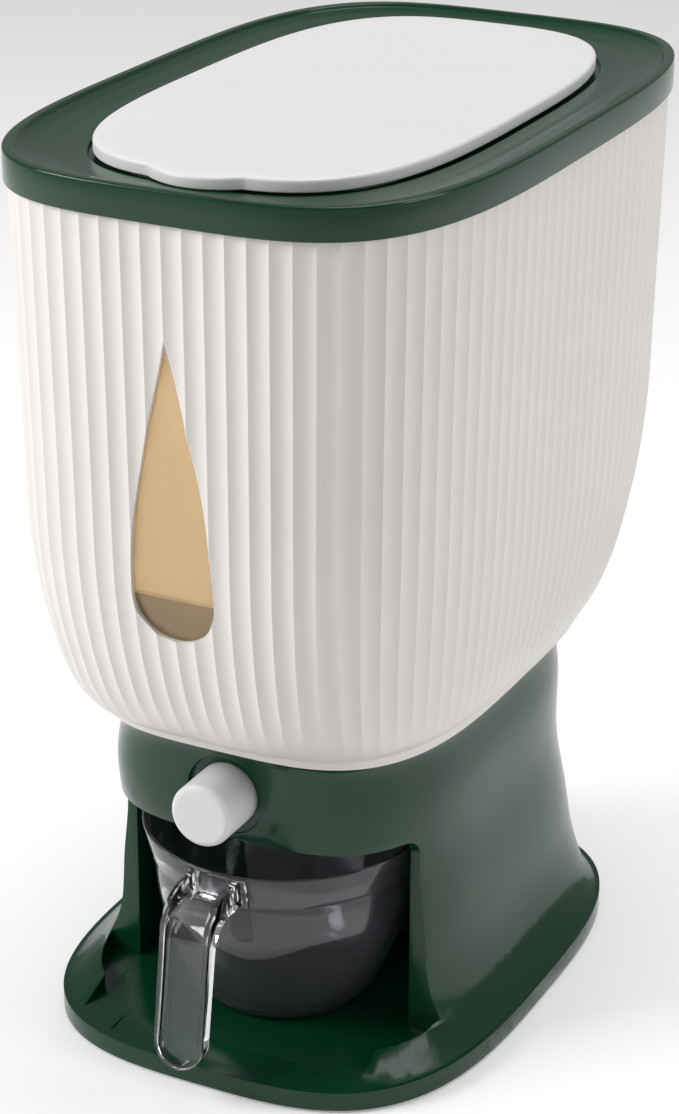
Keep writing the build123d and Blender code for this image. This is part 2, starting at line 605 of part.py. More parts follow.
with BuildPart() as return_spring:
    with BuildLine() as coil:
        Helix(
            pitch=SPRING_LENGTH / SPRING_TURNS,
            height=SPRING_LENGTH,
            radius=SPRING_R,
            center=(0, SPRING_FRONT + SPRING_WIRE_R, BUTTON_Z),
            direction=(0, 1, 0),
        )
    with BuildSketch(Plane(origin=coil.line @ 0, z_dir=coil.line % 0)):
        Circle(SPRING_WIRE_R)
    sweep(path=coil.line, is_frenet=True)
finish(return_spring, "return_spring")

with BuildPart() as button_bush:
    with BuildSketch(Plane.XZ.offset(-RECESS_Y)):
        with Locations((0, BUTTON_Z)):
            Circle(BUSH_FLANGE_R)
            Circle(BUTTON_R + GAP, mode=Mode.SUBTRACT)
    extrude(amount=BUSH_FLANGE_T)
    with BuildSketch(Plane.XZ.offset(-RECESS_Y)):
        with Locations((0, BUTTON_Z)):
            Circle(BUSH_R)
            Circle(BUTTON_R + GAP, mode=Mode.SUBTRACT)
    extrude(amount=-BUSH_DEPTH)
finish(button_bush, "button_bush")

# ---------------------------------------------------------------- base
def bay_plan(grow=0.0):
    """Plan of the cup bay, straight at the sides and round behind the cup."""
    half_x = BAY_HALF_X + grow
    with Locations((0, CUP_Y)):
        Circle(half_x)
        Rectangle(2 * half_x, ACROSS, align=(Align.CENTER, Align.MAX))


def pocket_plan(grow=0.0):
    """Plan of the floor in front of the columns."""
    right = [(x + grow, y - grow * (i > 0)) for i, (x, y) in enumerate(POCKET)]
    left = [(-x, y) for x, y in reversed(right)]
    with BuildLine() as edge:
        Spline(*right, tangents=[(0, -1), (-1, -POCKET_TURN)])
        Line(right[-1], left[0])
        Spline(*left, tangents=[(-1, POCKET_TURN), (0, 1)])
        Line(left[-1], right[0])
    make_face(edge.edges())


def front_profile(grow=0.0):
    """Side view of what is open in front of the columns, under the fascia."""
    face, top, low = COLUMN_FRONT + grow, BAY_TOP + grow, SHOULDER_Z - grow
    corner = COLUMN_CORNER + grow
    with BuildLine() as edge:
        Line((PAST_FRONT, low), (face, low))
        Line((face, low), (face, top - corner))
        RadiusArc((face, top - corner), (face - corner, top), -corner)
        Line((face - corner, top), (PAST_FRONT, top))
        Line((PAST_FRONT, top), (PAST_FRONT, low))
    make_face(edge.edges())


with BuildPart() as neck_inside:
    with BuildSketch(Plane.XY.offset(HOLLOW_LOW)):
        half_x, front, back = NECK[1][:3]
        outline(half_x - HOLLOW_STEP, front + HOLLOW_STEP, back - HOLLOW_STEP, NECK_FULLNESS)
    for half_x, front, back, level in NECK[2:]:
        with BuildSketch(Plane.XY.offset(level)):
            outline(half_x - SHELL, front + SHELL, back - SHELL, NECK_FULLNESS)
    loft()
    with BuildSketch(Plane.XY.offset(HOLLOW_LOW)):
        bay_plan(SHELL)
    extrude(amount=DECK_Z - HOLLOW_LOW, mode=Mode.SUBTRACT)
    with BuildSketch(Plane.YZ.offset(-ACROSS)):
        front_profile(SHELL)
    extrude(amount=2 * ACROSS, mode=Mode.SUBTRACT)
    with BuildSketch(Plane.XY):
        with Locations((0, COLUMN_FRONT + SHELL)):
            Rectangle(2 * ACROSS, ACROSS, align=(Align.CENTER, Align.MAX))
    extrude(amount=SHOULDER_Z, mode=Mode.SUBTRACT)
    with BuildSketch(Plane.XY.offset(BAY_TOP)):
        with Locations(*FRONT_POSTS):
            Circle(POST_R)
    extrude(amount=SEAT_Z - BAY_TOP, mode=Mode.SUBTRACT)
    with BuildSketch(Plane.XZ.offset(-RECESS_BACK)):
        with Locations((0, BUTTON_Z)):
            Circle(RECESS_R + RECESS_WALL)
    extrude(amount=RECESS_CUT, mode=Mode.SUBTRACT)
    with BuildSketch(Plane.XY.offset(POST_Z)):
        with Locations(*REAR_POSTS):
            Circle(POST_R)
        with Locations(*[(x * WEB_SHIFT, y) for x, y in REAR_POSTS]):
            Rectangle(2 * POST_R + WEB_T, WEB_T)
    extrude(amount=SEAT_Z - POST_Z, mode=Mode.SUBTRACT)

with BuildPart() as base_housing:
    with BuildSketch(Plane.XY.offset(GROUND_GAP)):
        outline(FOOT_HALF_X, FOOT_FRONT, FOOT_BACK, FOOT_FULLNESS)
    extrude(amount=FOOT_RIM - GROUND_GAP)
    with BuildSketch(Plane.XY.offset(FOOT_RIM)):
        outline(FOOT_HALF_X - FOOT_STEP, FOOT_FRONT + FOOT_STEP, FOOT_BACK - FOOT_STEP, FOOT_FULLNESS)
    with BuildSketch(Plane.XY.offset(SLOPE_TOP[3])):
        outline(*SLOPE_TOP[:3], FOOT_FULLNESS)
    loft(ruled=True)
    for half_x, front, back, level in NECK:
        with BuildSketch(Plane.XY.offset(level)):
            outline(half_x, front, back, NECK_FULLNESS)
    loft()
    with BuildSketch(Plane.YZ.offset(-ACROSS)):
        front_profile()
    extrude(amount=2 * ACROSS, mode=Mode.SUBTRACT)
    with BuildSketch(Plane.XY.offset(BAY_FLOOR)):
        bay_plan()
    extrude(amount=BAY_TOP - BAY_FLOOR, mode=Mode.SUBTRACT)
    with BuildSketch(Plane.XY.offset(BAY_FLOOR)):
        pocket_plan()
    extrude(amount=SHOULDER_Z - BAY_FLOOR + 1, mode=Mode.SUBTRACT)
    with BuildSketch(Plane.YZ.offset(-RAMP_HALF_X)):
        with BuildLine():
            Polyline(*RAMP, close=True)
        make_face()
    extrude(amount=2 * RAMP_HALF_X, mode=Mode.SUBTRACT)
    with BuildSketch(Plane.XY.offset(GROUND_GAP)):
        outline(FOOT_HALF_X - FOOT_WALL, FOOT_FRONT + FOOT_WALL, FOOT_BACK - FOOT_WALL, FOOT_FULLNESS)
    extrude(amount=FOOT_CEILING - GROUND_GAP, mode=Mode.SUBTRACT)
    add(neck_inside.part, mode=Mode.SUBTRACT)
    with BuildSketch(Plane.XZ.offset(-RECESS_Y)):
        with Locations((0, BUTTON_Z)):
            Circle(RECESS_R)
    extrude(amount=RECESS_CUT, mode=Mode.SUBTRACT)
    with BuildSketch(Plane.XZ.offset(-BUSH_HOLE_BACK)):
        with Locations((0, BUTTON_Z)):
            Circle(BUSH_R + BUSH_FIT)
    extrude(amount=RECESS_CUT, mode=Mode.SUBTRACT)
    with BuildSketch(Plane.XY.offset(BAY_TOP)):
        with Locations((0, CHUTE_Y)):
            RectangleRounded(TUBE[0] + 2 * SPOUT_PLAY, TUBE[1] + 2 * SPOUT_PLAY, TUBE[2] + SPOUT_PLAY)
    extrude(amount=SHELL, mode=Mode.SUBTRACT)
    with BuildSketch(Plane.XY.offset(BAY_TOP)):
        with Locations(*FRONT_POSTS):
            Circle(HEAD_R + SCREW_PLAY)
    extrude(amount=POST_Z - BAY_TOP, mode=Mode.SUBTRACT)
    with BuildSketch(Plane.XY.offset(POST_Z)):
        with Locations(*POSTS):
            Circle(SCREW_R + SCREW_PLAY)
    extrude(amount=SEAT_Z - POST_Z, mode=Mode.SUBTRACT)
    with BuildSketch(Plane.XY.offset(GROUND_GAP + PLATE)):
        with Locations(*PLATE_SCREWS):
            Circle(PLATE_POST_R)
            Circle(SCREW_R, mode=Mode.SUBTRACT)
    extrude(amount=BAY_FLOOR - SHELL - GROUND_GAP - PLATE)
finish(base_housing, "base_housing")

with BuildPart() as bottom_plate:
    with BuildSketch(Plane.XY.offset(GROUND_GAP)):
        outline(FOOT_HALF_X - PLATE_IN, FOOT_FRONT + PLATE_IN, FOOT_BACK - PLATE_IN, FOOT_FULLNESS)
        with Locations(*PLATE_SCREWS):
            Circle(SCREW_R + PLATE_FIT, mode=Mode.SUBTRACT)
    extrude(amount=PLATE)
    with BuildSketch(Plane.XY.offset(GROUND_GAP)):
        with Locations(*PLATE_SCREWS):
            Circle(HEAD_R + GAP)
        with Locations(*PADS.values()):
            Circle(PAD_R + PLATE_FIT)
    extrude(amount=PAD_SINK, mode=Mode.SUBTRACT)
finish(bottom_plate, "bottom_plate")

for corner, (x, y) in PADS.items():
    with BuildPart() as pad:
        with BuildSketch(Plane.XY):
            with Locations((x, y)):
                Circle(PAD_R)
        extrude(amount=GROUND_GAP + PAD_SINK)
        chamfer(pad.edges().group_by(Axis.Z)[0], PAD_EDGE)
    finish(pad, f"foot_pad_{corner}")


# ---------------------------------------------------------------- screws
def screws(places, under_head, length, head_t):
    """Self-tapping screws with their heads below and their points up, as separate solids."""
    with BuildSketch(Plane.XY.offset(under_head - head_t)) as heads:
        with Locations(*places):
            Circle(HEAD_R)
    extrude(heads.sketch, amount=head_t)
    with BuildSketch(Plane.XY.offset(under_head)) as shanks:
        with Locations(*places):
            Circle(SCREW_R)
    extrude(shanks.sketch, amount=length)


with BuildPart() as plate_screws:
    screws(PLATE_SCREWS, GROUND_GAP + PAD_SINK, *PLATE_SCREW)
finish(plate_screws, "plate_screws")

with BuildPart() as gate_screws:
    screws(BOSSES, GATE_HEADS, *GATE_SCREW)
finish(gate_screws, "gate_screws")

with BuildPart() as tank_screws:
    screws(POSTS, POST_Z, *TANK_SCREW)
finish(tank_screws, "tank_screws")

# ---------------------------------------------------------------- cup
with BuildPart() as cup:
    with BuildSketch(Plane.XZ.offset(-CUP_Y)) as wall:
        with BuildLine():
            Line((0, CUP_Z), CUP_OUTSIDE[0])
            Spline(*CUP_OUTSIDE, tangents=[(1, 0), (CUP_FLARE, 1)])
            Polyline(*CUP_BAND)
            Spline(*CUP_INSIDE, tangents=[(-CUP_FLARE, -1), (-1, 0)])
            Line(CUP_INSIDE[-1], (0, CUP_INSIDE[-1][1]))
            Line((0, CUP_INSIDE[-1][1]), (0, CUP_Z))
        make_face()
    revolve(axis=Axis((0, CUP_Y, 0), (0, 0, 1)))
finish(cup, "cup")


def band_cone(grow):
    """Cone of the cup's band, wider by grow, in the open part."""
    slope = (CUP_RIM_R - CUP_BAND_R) / (CUP_RIM_Z - CUP_BAND_Z)
    low, high = CUP_BAND_Z - BAND_LAP, CUP_RIM_Z + BAND_LAP
    with BuildSketch(Plane.XZ.offset(-CUP_Y)) as half:
        with BuildLine() as edge:
            Polyline(
                (0, low), (CUP_BAND_R - BAND_LAP * slope + grow, low),
                (CUP_RIM_R + BAND_LAP * slope + grow, high), (0, high), close=True,
            )
        make_face(edge.edges())
    return half.sketch


def handle_side(outer, inner):
    """Side view of the handle's bend, between two lines that turn down together."""
    with BuildSketch(Plane.YZ) as side:
        with BuildLine() as edge:
            FilletPolyline(*outer, radius=HANDLE_BEND)
            FilletPolyline(*inner, radius=HANDLE_BEND - HANDLE_BEND_STEP)
            Line(outer[0], inner[0])
            Line(outer[-1], inner[-1])
        make_face(edge.edges())
    return side.sketch


def handle_front(half_x):
    """Front view of the handle, with a round lower end."""
    middle = HANDLE_END + HANDLE_HALF_X
    with BuildSketch(Plane.XZ.offset(HANDLE_START)) as front:
        with Locations((0, middle)):
            Circle(half_x)
        with Locations((0, middle)):
            Rectangle(2 * half_x, HANDLE_TALL, align=(Align.CENTER, Align.MIN))
    return front.sketch


floor_line = [(y - HANDLE_WALL * (i > 0), z + HANDLE_WALL) for i, (y, z) in enumerate(HANDLE_INNER)]
sky_line = [(y - CHANNEL_OPEN * (i > 0), z + CHANNEL_OPEN) for i, (y, z) in enumerate(HANDLE_OUTER)]

with BuildPart() as handle_channel:
    extrude(handle_side(sky_line, floor_line), amount=HANDLE_HALF_X - HANDLE_WALL, both=True)
    extrude(handle_front(HANDLE_HALF_X - HANDLE_WALL), amount=HANDLE_REACH, mode=Mode.INTERSECT)

with BuildPart() as handle_bar:
    extrude(handle_side(HANDLE_OUTER, HANDLE_INNER), amount=HANDLE_HALF_X, both=True)
    extrude(handle_front(HANDLE_HALF_X), amount=HANDLE_REACH, mode=Mode.INTERSECT)
    add(handle_channel.part, mode=Mode.SUBTRACT)

with BuildPart() as cup_handle:
    revolve(band_cone(HANDLE_PLATE[1]), axis=Axis((0, CUP_Y, 0), (0, 0, 1)))
    with Locations((0, CUP_Y - CUP_RIM_R, (CUP_BAND_Z + CUP_RIM_Z) / 2)):
        Box(HANDLE_PLATE[0], PLATE_CUT, HANDLE_PLATE[2], mode=Mode.INTERSECT)
    add(handle_bar.part)
    revolve(band_cone(0), axis=Axis((0, CUP_Y, 0), (0, 0, 1)), mode=Mode.SUBTRACT)
finish(cup_handle, "cup_handle")
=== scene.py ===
# %% [markdown]
# # A rice dispenser, dressed around its engineering model
#
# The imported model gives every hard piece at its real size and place. This script gives each piece the
# surface that a person would see: fluted white plastic, a glossy green collar and base, an amber
# window, and a smoky clear cup. All lengths are in metres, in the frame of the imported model.

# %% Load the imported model
import math

import bmesh
import bpy
from mathutils import Matrix, Vector


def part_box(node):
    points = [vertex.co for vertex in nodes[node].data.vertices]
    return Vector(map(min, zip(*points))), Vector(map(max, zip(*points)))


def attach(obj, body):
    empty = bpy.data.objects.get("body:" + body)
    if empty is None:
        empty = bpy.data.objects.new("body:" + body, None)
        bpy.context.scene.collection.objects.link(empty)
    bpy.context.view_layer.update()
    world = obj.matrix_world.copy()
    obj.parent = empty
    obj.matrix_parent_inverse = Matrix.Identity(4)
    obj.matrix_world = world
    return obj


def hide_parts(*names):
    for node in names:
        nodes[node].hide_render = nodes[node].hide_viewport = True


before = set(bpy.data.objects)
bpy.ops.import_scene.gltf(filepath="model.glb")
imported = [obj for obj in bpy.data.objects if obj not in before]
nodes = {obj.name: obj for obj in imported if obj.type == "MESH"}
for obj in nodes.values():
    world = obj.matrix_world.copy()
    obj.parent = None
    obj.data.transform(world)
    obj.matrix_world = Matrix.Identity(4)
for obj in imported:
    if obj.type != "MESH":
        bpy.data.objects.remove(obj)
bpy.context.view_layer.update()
MM = 0.001
print("pieces in the frame:", len(nodes))

# %% [markdown]
# ## The camera
#
# The camera stands where the photographer stood: to the right of the front and above the lid. Its
# place and its long lens were worked out from the outlines of the collar, lid and foot.

# %% Camera
CAMERA_PLACE = Vector((0.5628, -1.1322, 0.7406))
CAMERA_TARGET = Vector((-0.00485, -0.00585, 0.20096))
CAMERA_LENS = 95.75
CAMERA_ROLL = math.radians(0.23)

camera_data = bpy.data.cameras.new("camera")
camera_data.lens = CAMERA_LENS
camera_data.sensor_width = 36
camera = bpy.data.objects.new("camera", camera_data)
bpy.context.collection.objects.link(camera)
look = (CAMERA_TARGET - CAMERA_PLACE).to_track_quat("-Z", "Y").to_matrix().to_4x4()
camera.matrix_world = Matrix.Translation(CAMERA_PLACE) @ look @ Matrix.Rotation(CAMERA_ROLL, 4, "Z")
bpy.context.scene.camera = camera
bpy.context.scene.view_settings.view_transform = "Standard"
print("camera to target, metres:", round((CAMERA_TARGET - CAMERA_PLACE).length, 3))

# %% [markdown]
# ## A small kit for materials
#
# Every finish starts as a Principled shader. What varies over a surface, such as the fine orange peel
# of moulded plastic, comes from a node group that several finishes share, each with its own values.

# %% Helpers for shader nodes
def new_material(name):
    """Empty material with a Principled shader wired to its output."""
    material = bpy.data.materials.new(name)
    material.use_nodes = True
    tree = material.node_tree
    tree.nodes.clear()
    output = tree.nodes.new("ShaderNodeOutputMaterial")
    shader = tree.nodes.new("ShaderNodeBsdfPrincipled")
    tree.links.new(shader.outputs["BSDF"], output.inputs["Surface"])
    return material, tree, shader


def add_socket(tree, name, kind, value=None, output=False):
    """Named socket of a node group, with its starting value."""
    socket = tree.interface.new_socket(
        name=name, in_out="OUTPUT" if output else "INPUT", socket_type=kind
    )
    if value is not None:
        socket.default_value = value


# %% [markdown]
# Moulded plastic is never perfectly even. It has a faint orange peel, a slow drift in gloss where the
# mould was cooler, and a little dust that dulls it. One group makes all three from Object coordinates,
# so that the pattern stays on the piece when the piece moves.

# %% Shared group: moulded surface
DRIFT_SCALE = 14                    # waves of the slow drift in a metre
DRIFT_DETAIL = 3
DUST_TINT = (0.93, 0.93, 0.93, 1)   # what the dustiest spots are multiplied by
PEEL_HEIGHT = 0.2 * MM              # height of the peel at a depth of 1

moulded = bpy.data.node_groups.new("moulded surface", "ShaderNodeTree")
add_socket(moulded, "Colour", "NodeSocketColor", (0.8, 0.8, 0.8, 1))
add_socket(moulded, "Gloss Roughness", "NodeSocketFloat", 0.3)
add_socket(moulded, "Drift", "NodeSocketFloat", 0.05)
add_socket(moulded, "Peel Size", "NodeSocketFloat", 400.0)
add_socket(moulded, "Peel Depth", "NodeSocketFloat", 0.02)
add_socket(moulded, "Colour", "NodeSocketColor", output=True)
add_socket(moulded, "Roughness", "NodeSocketFloat", output=True)
add_socket(moulded, "Normal", "NodeSocketVector", output=True)


def build_moulded(tree):
    """Slow noise moves the roughness and tint, fine noise makes the peel."""
    make, link = tree.nodes.new, tree.links.new
    given, result = make("NodeGroupInput"), make("NodeGroupOutput")
    place = make("ShaderNodeTexCoord")
    slow = make("ShaderNodeTexNoise")
    slow.inputs["Scale"].default_value = DRIFT_SCALE
    slow.inputs["Detail"].default_value = DRIFT_DETAIL
    fine = make("ShaderNodeTexNoise")
    fine.inputs["Detail"].default_value = 1
    link(place.outputs["Object"], slow.inputs["Vector"])
    link(place.outputs["Object"], fine.inputs["Vector"])
    link(given.outputs["Peel Size"], fine.inputs["Scale"])
    centred = make("ShaderNodeMath")
    centred.operation = "SUBTRACT"
    centred.inputs[1].default_value = 0.5
    link(slow.outputs["Fac"], centred.inputs[0])
    drift = make("ShaderNodeMath")
    drift.operation = "MULTIPLY_ADD"
    link(centred.outputs[0], drift.inputs[0])
    link(given.outputs["Drift"], drift.inputs[1])
    link(given.outputs["Gloss Roughness"], drift.inputs[2])
    link(drift.outputs[0], result.inputs["Roughness"])
    tint = make("ShaderNodeMix")
    tint.data_type = "RGBA"
    tint.blend_type = "MULTIPLY"
    tint.inputs["B"].default_value = DUST_TINT
    link(slow.outputs["Fac"], tint.inputs["Factor"])
    link(given.outputs["Colour"], tint.inputs["A"])
    link(tint.outputs["Result"], result.inputs["Colour"])
    bump = make("ShaderNodeBump")
    bump.inputs["Distance"].default_value = PEEL_HEIGHT
    link(given.outputs["Peel Depth"], bump.inputs["Strength"])
    link(fine.outputs["Fac"], bump.inputs["Height"])
    link(bump.outputs["Normal"], result.inputs["Normal"])


build_moulded(moulded)


# %% Moulded finishes
COAT_ROUGHNESS = 0.06


def use_moulded(tree, shader, colour, roughness, drift, size, depth):
    """Place the shared group in a material and feed its shader from it."""
    group = tree.nodes.new("ShaderNodeGroup")
    group.node_tree = moulded
    group.inputs["Colour"].default_value = (*colour, 1)
    group.inputs["Gloss Roughness"].default_value = roughness
    group.inputs["Drift"].default_value = drift
    group.inputs["Peel Size"].default_value = size
    group.inputs["Peel Depth"].default_value = depth
    tree.links.new(group.outputs["Colour"], shader.inputs["Base Color"])
    tree.links.new(group.outputs["Roughness"], shader.inputs["Roughness"])
    tree.links.new(group.outputs["Normal"], shader.inputs["Normal"])


def moulded_finish(name, colour, roughness, drift=0.06, size=400.0, depth=0.05, coat=0.0):
    """Plastic finish: colour, gloss and peel go through the shared group."""
    material, tree, shader = new_material(name)
    use_moulded(tree, shader, colour, roughness, drift, size, depth)
    shader.inputs["Coat Weight"].default_value = coat
    shader.inputs["Coat Roughness"].default_value = COAT_ROUGHNESS
    return material


TANK_WHITE = (0.86, 0.825, 0.79)
LID_WHITE = (0.88, 0.87, 0.85)
BUTTON_WHITE = (0.80, 0.79, 0.79)
DEEP_GREEN = (0.0012, 0.041, 0.0165)
GREEN_SPECULAR = 0.36   # a white room pales a dark glossy colour, so it mirrors a little less

tank_white = moulded_finish("tank white", TANK_WHITE, 0.34, depth=0.03)
lid_white = moulded_finish("lid white", LID_WHITE, 0.38, depth=0.04)
hopper_white = moulded_finish("hopper white", TANK_WHITE, 0.34, depth=0.04)
button_white = moulded_finish("button white", BUTTON_WHITE, 0.45, size=900, depth=0.12)
collar_green = moulded_finish("collar green", DEEP_GREEN, 0.16, drift=0.05, depth=0.03, coat=0.08)
base_green = moulded_finish("base green", DEEP_GREEN, 0.2, drift=0.06, depth=0.04, coat=0.08)
for green in (collar_green, base_green):
    green.node_tree.nodes["Principled BSDF"].inputs["Specular IOR Level"].default_value = GREEN_SPECULAR
plate_green = moulded_finish("plate green", (0.006, 0.045, 0.028), 0.5, size=900, depth=0.2)
works_grey = moulded_finish("works grey", (0.5, 0.5, 0.49), 0.45, depth=0.08)
seal_white = moulded_finish("seal white", (0.7, 0.7, 0.68), 0.6, size=900, depth=0.1)
pad_black = moulded_finish("pad black", (0.02, 0.02, 0.02), 0.7, size=1200, depth=0.3)
print("moulded finishes made")

# %% [markdown]
# ## Outlines and skins
#
# The collar, the lid and the tank share one kind of outline: a rounded box between an ellipse and a
# rectangle. A ring of evenly spaced points follows it at one height. A skin joins rings one after the
# other, so a whole moulded shell is a short list of rings, as a potter would throw it.

# %% Rings and skins
RING_POINTS = 288
WALK_STEPS = 2880
LIP_HALF = 21 * MM      # half width of the lid's finger lip
LIP_SOFT = 0.4          # under 1 the lip is flat-fronted


def box_point(half_x, half_y, fullness, share):
    """Point on a rounded box, with share running once around it from 0 to 1."""
    angle = 2 * math.pi * share
    cosine, sine = math.cos(angle), math.sin(angle)
    x = math.copysign(abs(cosine) ** (2 / fullness), cosine) * half_x
    y = math.copysign(abs(sine) ** (2 / fullness), sine) * half_y
    return Vector((x, y, 0))


def ring(half_x, front, back, fullness, height, lip=0.0):
    """Evenly spaced points round the outline at a height. A lip pushes its front edge out."""
    half_y, middle = (back - front) / 2, (back + front) / 2
    walk = [box_point(half_x, half_y, fullness, i / WALK_STEPS) for i in range(WALK_STEPS + 1)]
    reach = [0.0]
    for one, two in zip(walk, walk[1:]):
        reach.append(reach[-1] + (two - one).length)
    points, at = [], 0
    for i in range(RING_POINTS):
        goal = reach[-1] * i / RING_POINTS
        while reach[at + 1] < goal:
            at += 1
        share = (goal - reach[at]) / (reach[at + 1] - reach[at])
        point = walk[at].lerp(walk[at + 1], share)
        point += Vector((0, middle, height))
        if point.y < middle and abs(point.x) < LIP_HALF:
            point.y -= lip * (0.5 + 0.5 * math.cos(math.pi * abs(point.x) / LIP_HALF)) ** LIP_SOFT
        points.append(point)
    return points


def plain_mesh(mesh_edit, name):
    """Mesh with the edited geometry."""
    mesh = bpy.data.meshes.new(name)
    mesh_edit.to_mesh(mesh)
    mesh_edit.free()
    return mesh


def skin(name, rings, closed_loop=False):
    """Mesh through the rings, in order. The ends are capped, or joined for a hollow ring."""
    mesh_edit = bmesh.new()
    rows = [[mesh_edit.verts.new(p) for p in one] for one in rings]
    pairs = list(zip(rows, rows[1:]))
    if closed_loop:
        pairs.append((rows[-1], rows[0]))
    for low, high in pairs:
        for i in range(len(low)):
            k = (i + 1) % len(low)
            mesh_edit.faces.new((low[i], low[k], high[k], high[i]))
    if not closed_loop:
        mesh_edit.faces.new(list(reversed(rows[0])))
        mesh_edit.faces.new(rows[-1])
    bmesh.ops.recalc_face_normals(mesh_edit, faces=mesh_edit.faces)
    return plain_mesh(mesh_edit, name)


def place_piece(mesh, name, body, finish, replaced=(), sharp=35):
    """Object at the origin that rides on a body, with its finish and smooth shading."""
    mesh.materials.clear()
    mesh.materials.append(finish)
    mesh.polygons.foreach_set("use_smooth", [True] * len(mesh.polygons))
    mesh.set_sharp_from_angle(angle=math.radians(sharp))
    piece = bpy.data.objects.new(name, mesh)
    bpy.context.collection.objects.link(piece)
    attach(piece, body)
    if replaced:
        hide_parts(*replaced)
    print(name, "faces", len(mesh.polygons))


# %% [markdown]
# ## The fluted tank
#
# The tank is the face of the object: 104 hollow flutes run down its wall and fade out where it curves
# in to the base. Modelling them one by one would be slow and stiff. Here the whole wall is one grid,
# and Geometry Nodes bend it: across, the grid follows an evenly spaced outline, and up, it follows the
# tank's draft and its quarter-ellipse foot. Each flute is the parabola 4t(1-t) between two ridges.

# %% Helpers for geometry nodes
def new_geometry_tree(name, sizes, takes_geometry=False):
    """Tree with one geometry output and a named input for each size."""
    tree = bpy.data.node_groups.new(name, "GeometryNodeTree")
    if takes_geometry:
        add_socket(tree, "Geometry", "NodeSocketGeometry")
    add_socket(tree, "Geometry", "NodeSocketGeometry", output=True)
    for label, value in sizes.items():
        kind = "NodeSocketInt" if isinstance(value, int) else "NodeSocketFloat"
        add_socket(tree, label, kind, value)
    add_socket(tree, "Finish", "NodeSocketMaterial")
    return tree, tree.nodes.new("NodeGroupInput"), tree.nodes.new("NodeGroupOutput")


def maths(tree, operation, *values):
    """Math node fed by sockets or plain numbers; gives back its output socket."""
    node = tree.nodes.new("ShaderNodeMath")
    node.operation = operation
    for slot_index, value in enumerate(values):
        if isinstance(value, (int, float)):
            node.inputs[slot_index].default_value = value
        else:
            tree.links.new(value, node.inputs[slot_index])
    return node.outputs[0]


def finish_tree(tree, geometry, given, result):
    """Realize the instances, give them the finish, and hand the geometry out."""
    realize = tree.nodes.new("GeometryNodeRealizeInstances")
    paint = tree.nodes.new("GeometryNodeSetMaterial")
    tree.links.new(geometry, realize.inputs["Geometry"])
    tree.links.new(realize.outputs["Geometry"], paint.inputs["Geometry"])
    tree.links.new(given.outputs["Finish"], paint.inputs["Material"])
    tree.links.new(paint.outputs["Geometry"], result.inputs["Geometry"])


def mesh_from_tree(tree, name, values, source=None):
    """Run a tree on an object and keep the result as a plain mesh."""
    holder = bpy.data.objects.new(name + " holder", source or bpy.data.meshes.new(name))
    bpy.context.collection.objects.link(holder)
    modifier = holder.modifiers.new("build", "NODES")
    modifier.node_group = tree
    for socket in tree.interface.items_tree:
        if socket.in_out == "INPUT" and socket.name in values:
            modifier[socket.identifier] = values[socket.name]
    bpy.context.view_layer.update()
    shown = holder.evaluated_get(bpy.context.evaluated_depsgraph_get())
    mesh = bpy.data.meshes.new_from_object(shown)
    holder.modifiers.remove(modifier)
    bpy.data.objects.remove(holder)
    return mesh


# %% The tank's sizes
TANK = {
    "Flutes": 104, "Flute Depth": 1.1 * MM, "Fade": 30 * MM, "Fullness": 3.7, "Foot Fullness": 3.45,
    "Half Width": 107.4 * MM, "Half Depth": 172.2 * MM, "Top": 415.5 * MM, "Knee": 262 * MM,
    "Foot": 163.2 * MM, "Draft": 0.018, "Draft Top": 405.9 * MM,
    "Foot Half Width": 87.4 * MM, "Foot Front": -131.8 * MM, "Foot Back": 125.6 * MM,
}
TANK_WALL = 2.6 * MM
FLUTE_STEPS = 8         # faces across one flute
TANK_ROWS = 90          # rows of faces up the wall
OUTLINE_STEPS = 2880    # points of the outline before it is sampled
ROW_CROWDING = 1.7      # over 1, the rows lie closer together towards the foot
ROUNDING_PACE = 1.6     # how soon, going down, the outline has its foot's fullness
LEAST_FLUTE = 0.05      # share of the flute's depth that is left at the foot
SEAM = 0.02 * MM        # points nearer than this are welded where the wall meets itself
NEAR_ZERO = 1e-6

# %% A tree for the fluted wall
def power(tree, value, exponent):
    """Size of a value, raised to a power, kept off zero."""
    return maths(tree, "POWER", maths(tree, "MAXIMUM", maths(tree, "ABSOLUTE", value), NEAR_ZERO), exponent)


def outline_curve(tree, given):
    """Closed curve of the unit outline, whose half width and depth are the tank's at its top."""
    make, link = tree.nodes.new, tree.links.new
    circle = make("GeometryNodeCurvePrimitiveCircle")
    circle.inputs["Resolution"].default_value = OUTLINE_STEPS
    index = make("GeometryNodeInputIndex")
    angle = maths(tree, "MULTIPLY", index.outputs[0], 2 * math.pi / OUTLINE_STEPS)
    root = maths(tree, "DIVIDE", 2.0, given.outputs["Fullness"])
    sides = []
    for function, half in (("COSINE", "Half Width"), ("SINE", "Half Depth")):
        wave = maths(tree, function, angle)
        size = maths(tree, "MULTIPLY", power(tree, wave, root), maths(tree, "SIGN", wave))
        sides.append(maths(tree, "MULTIPLY", size, given.outputs[half]))
    place = make("ShaderNodeCombineXYZ")
    link(sides[0], place.inputs["X"])
    link(sides[1], place.inputs["Y"])
    move = make("GeometryNodeSetPosition")
    link(circle.outputs["Curve"], move.inputs["Geometry"])
    link(place.outputs[0], move.inputs["Position"])
    return move.outputs["Geometry"]


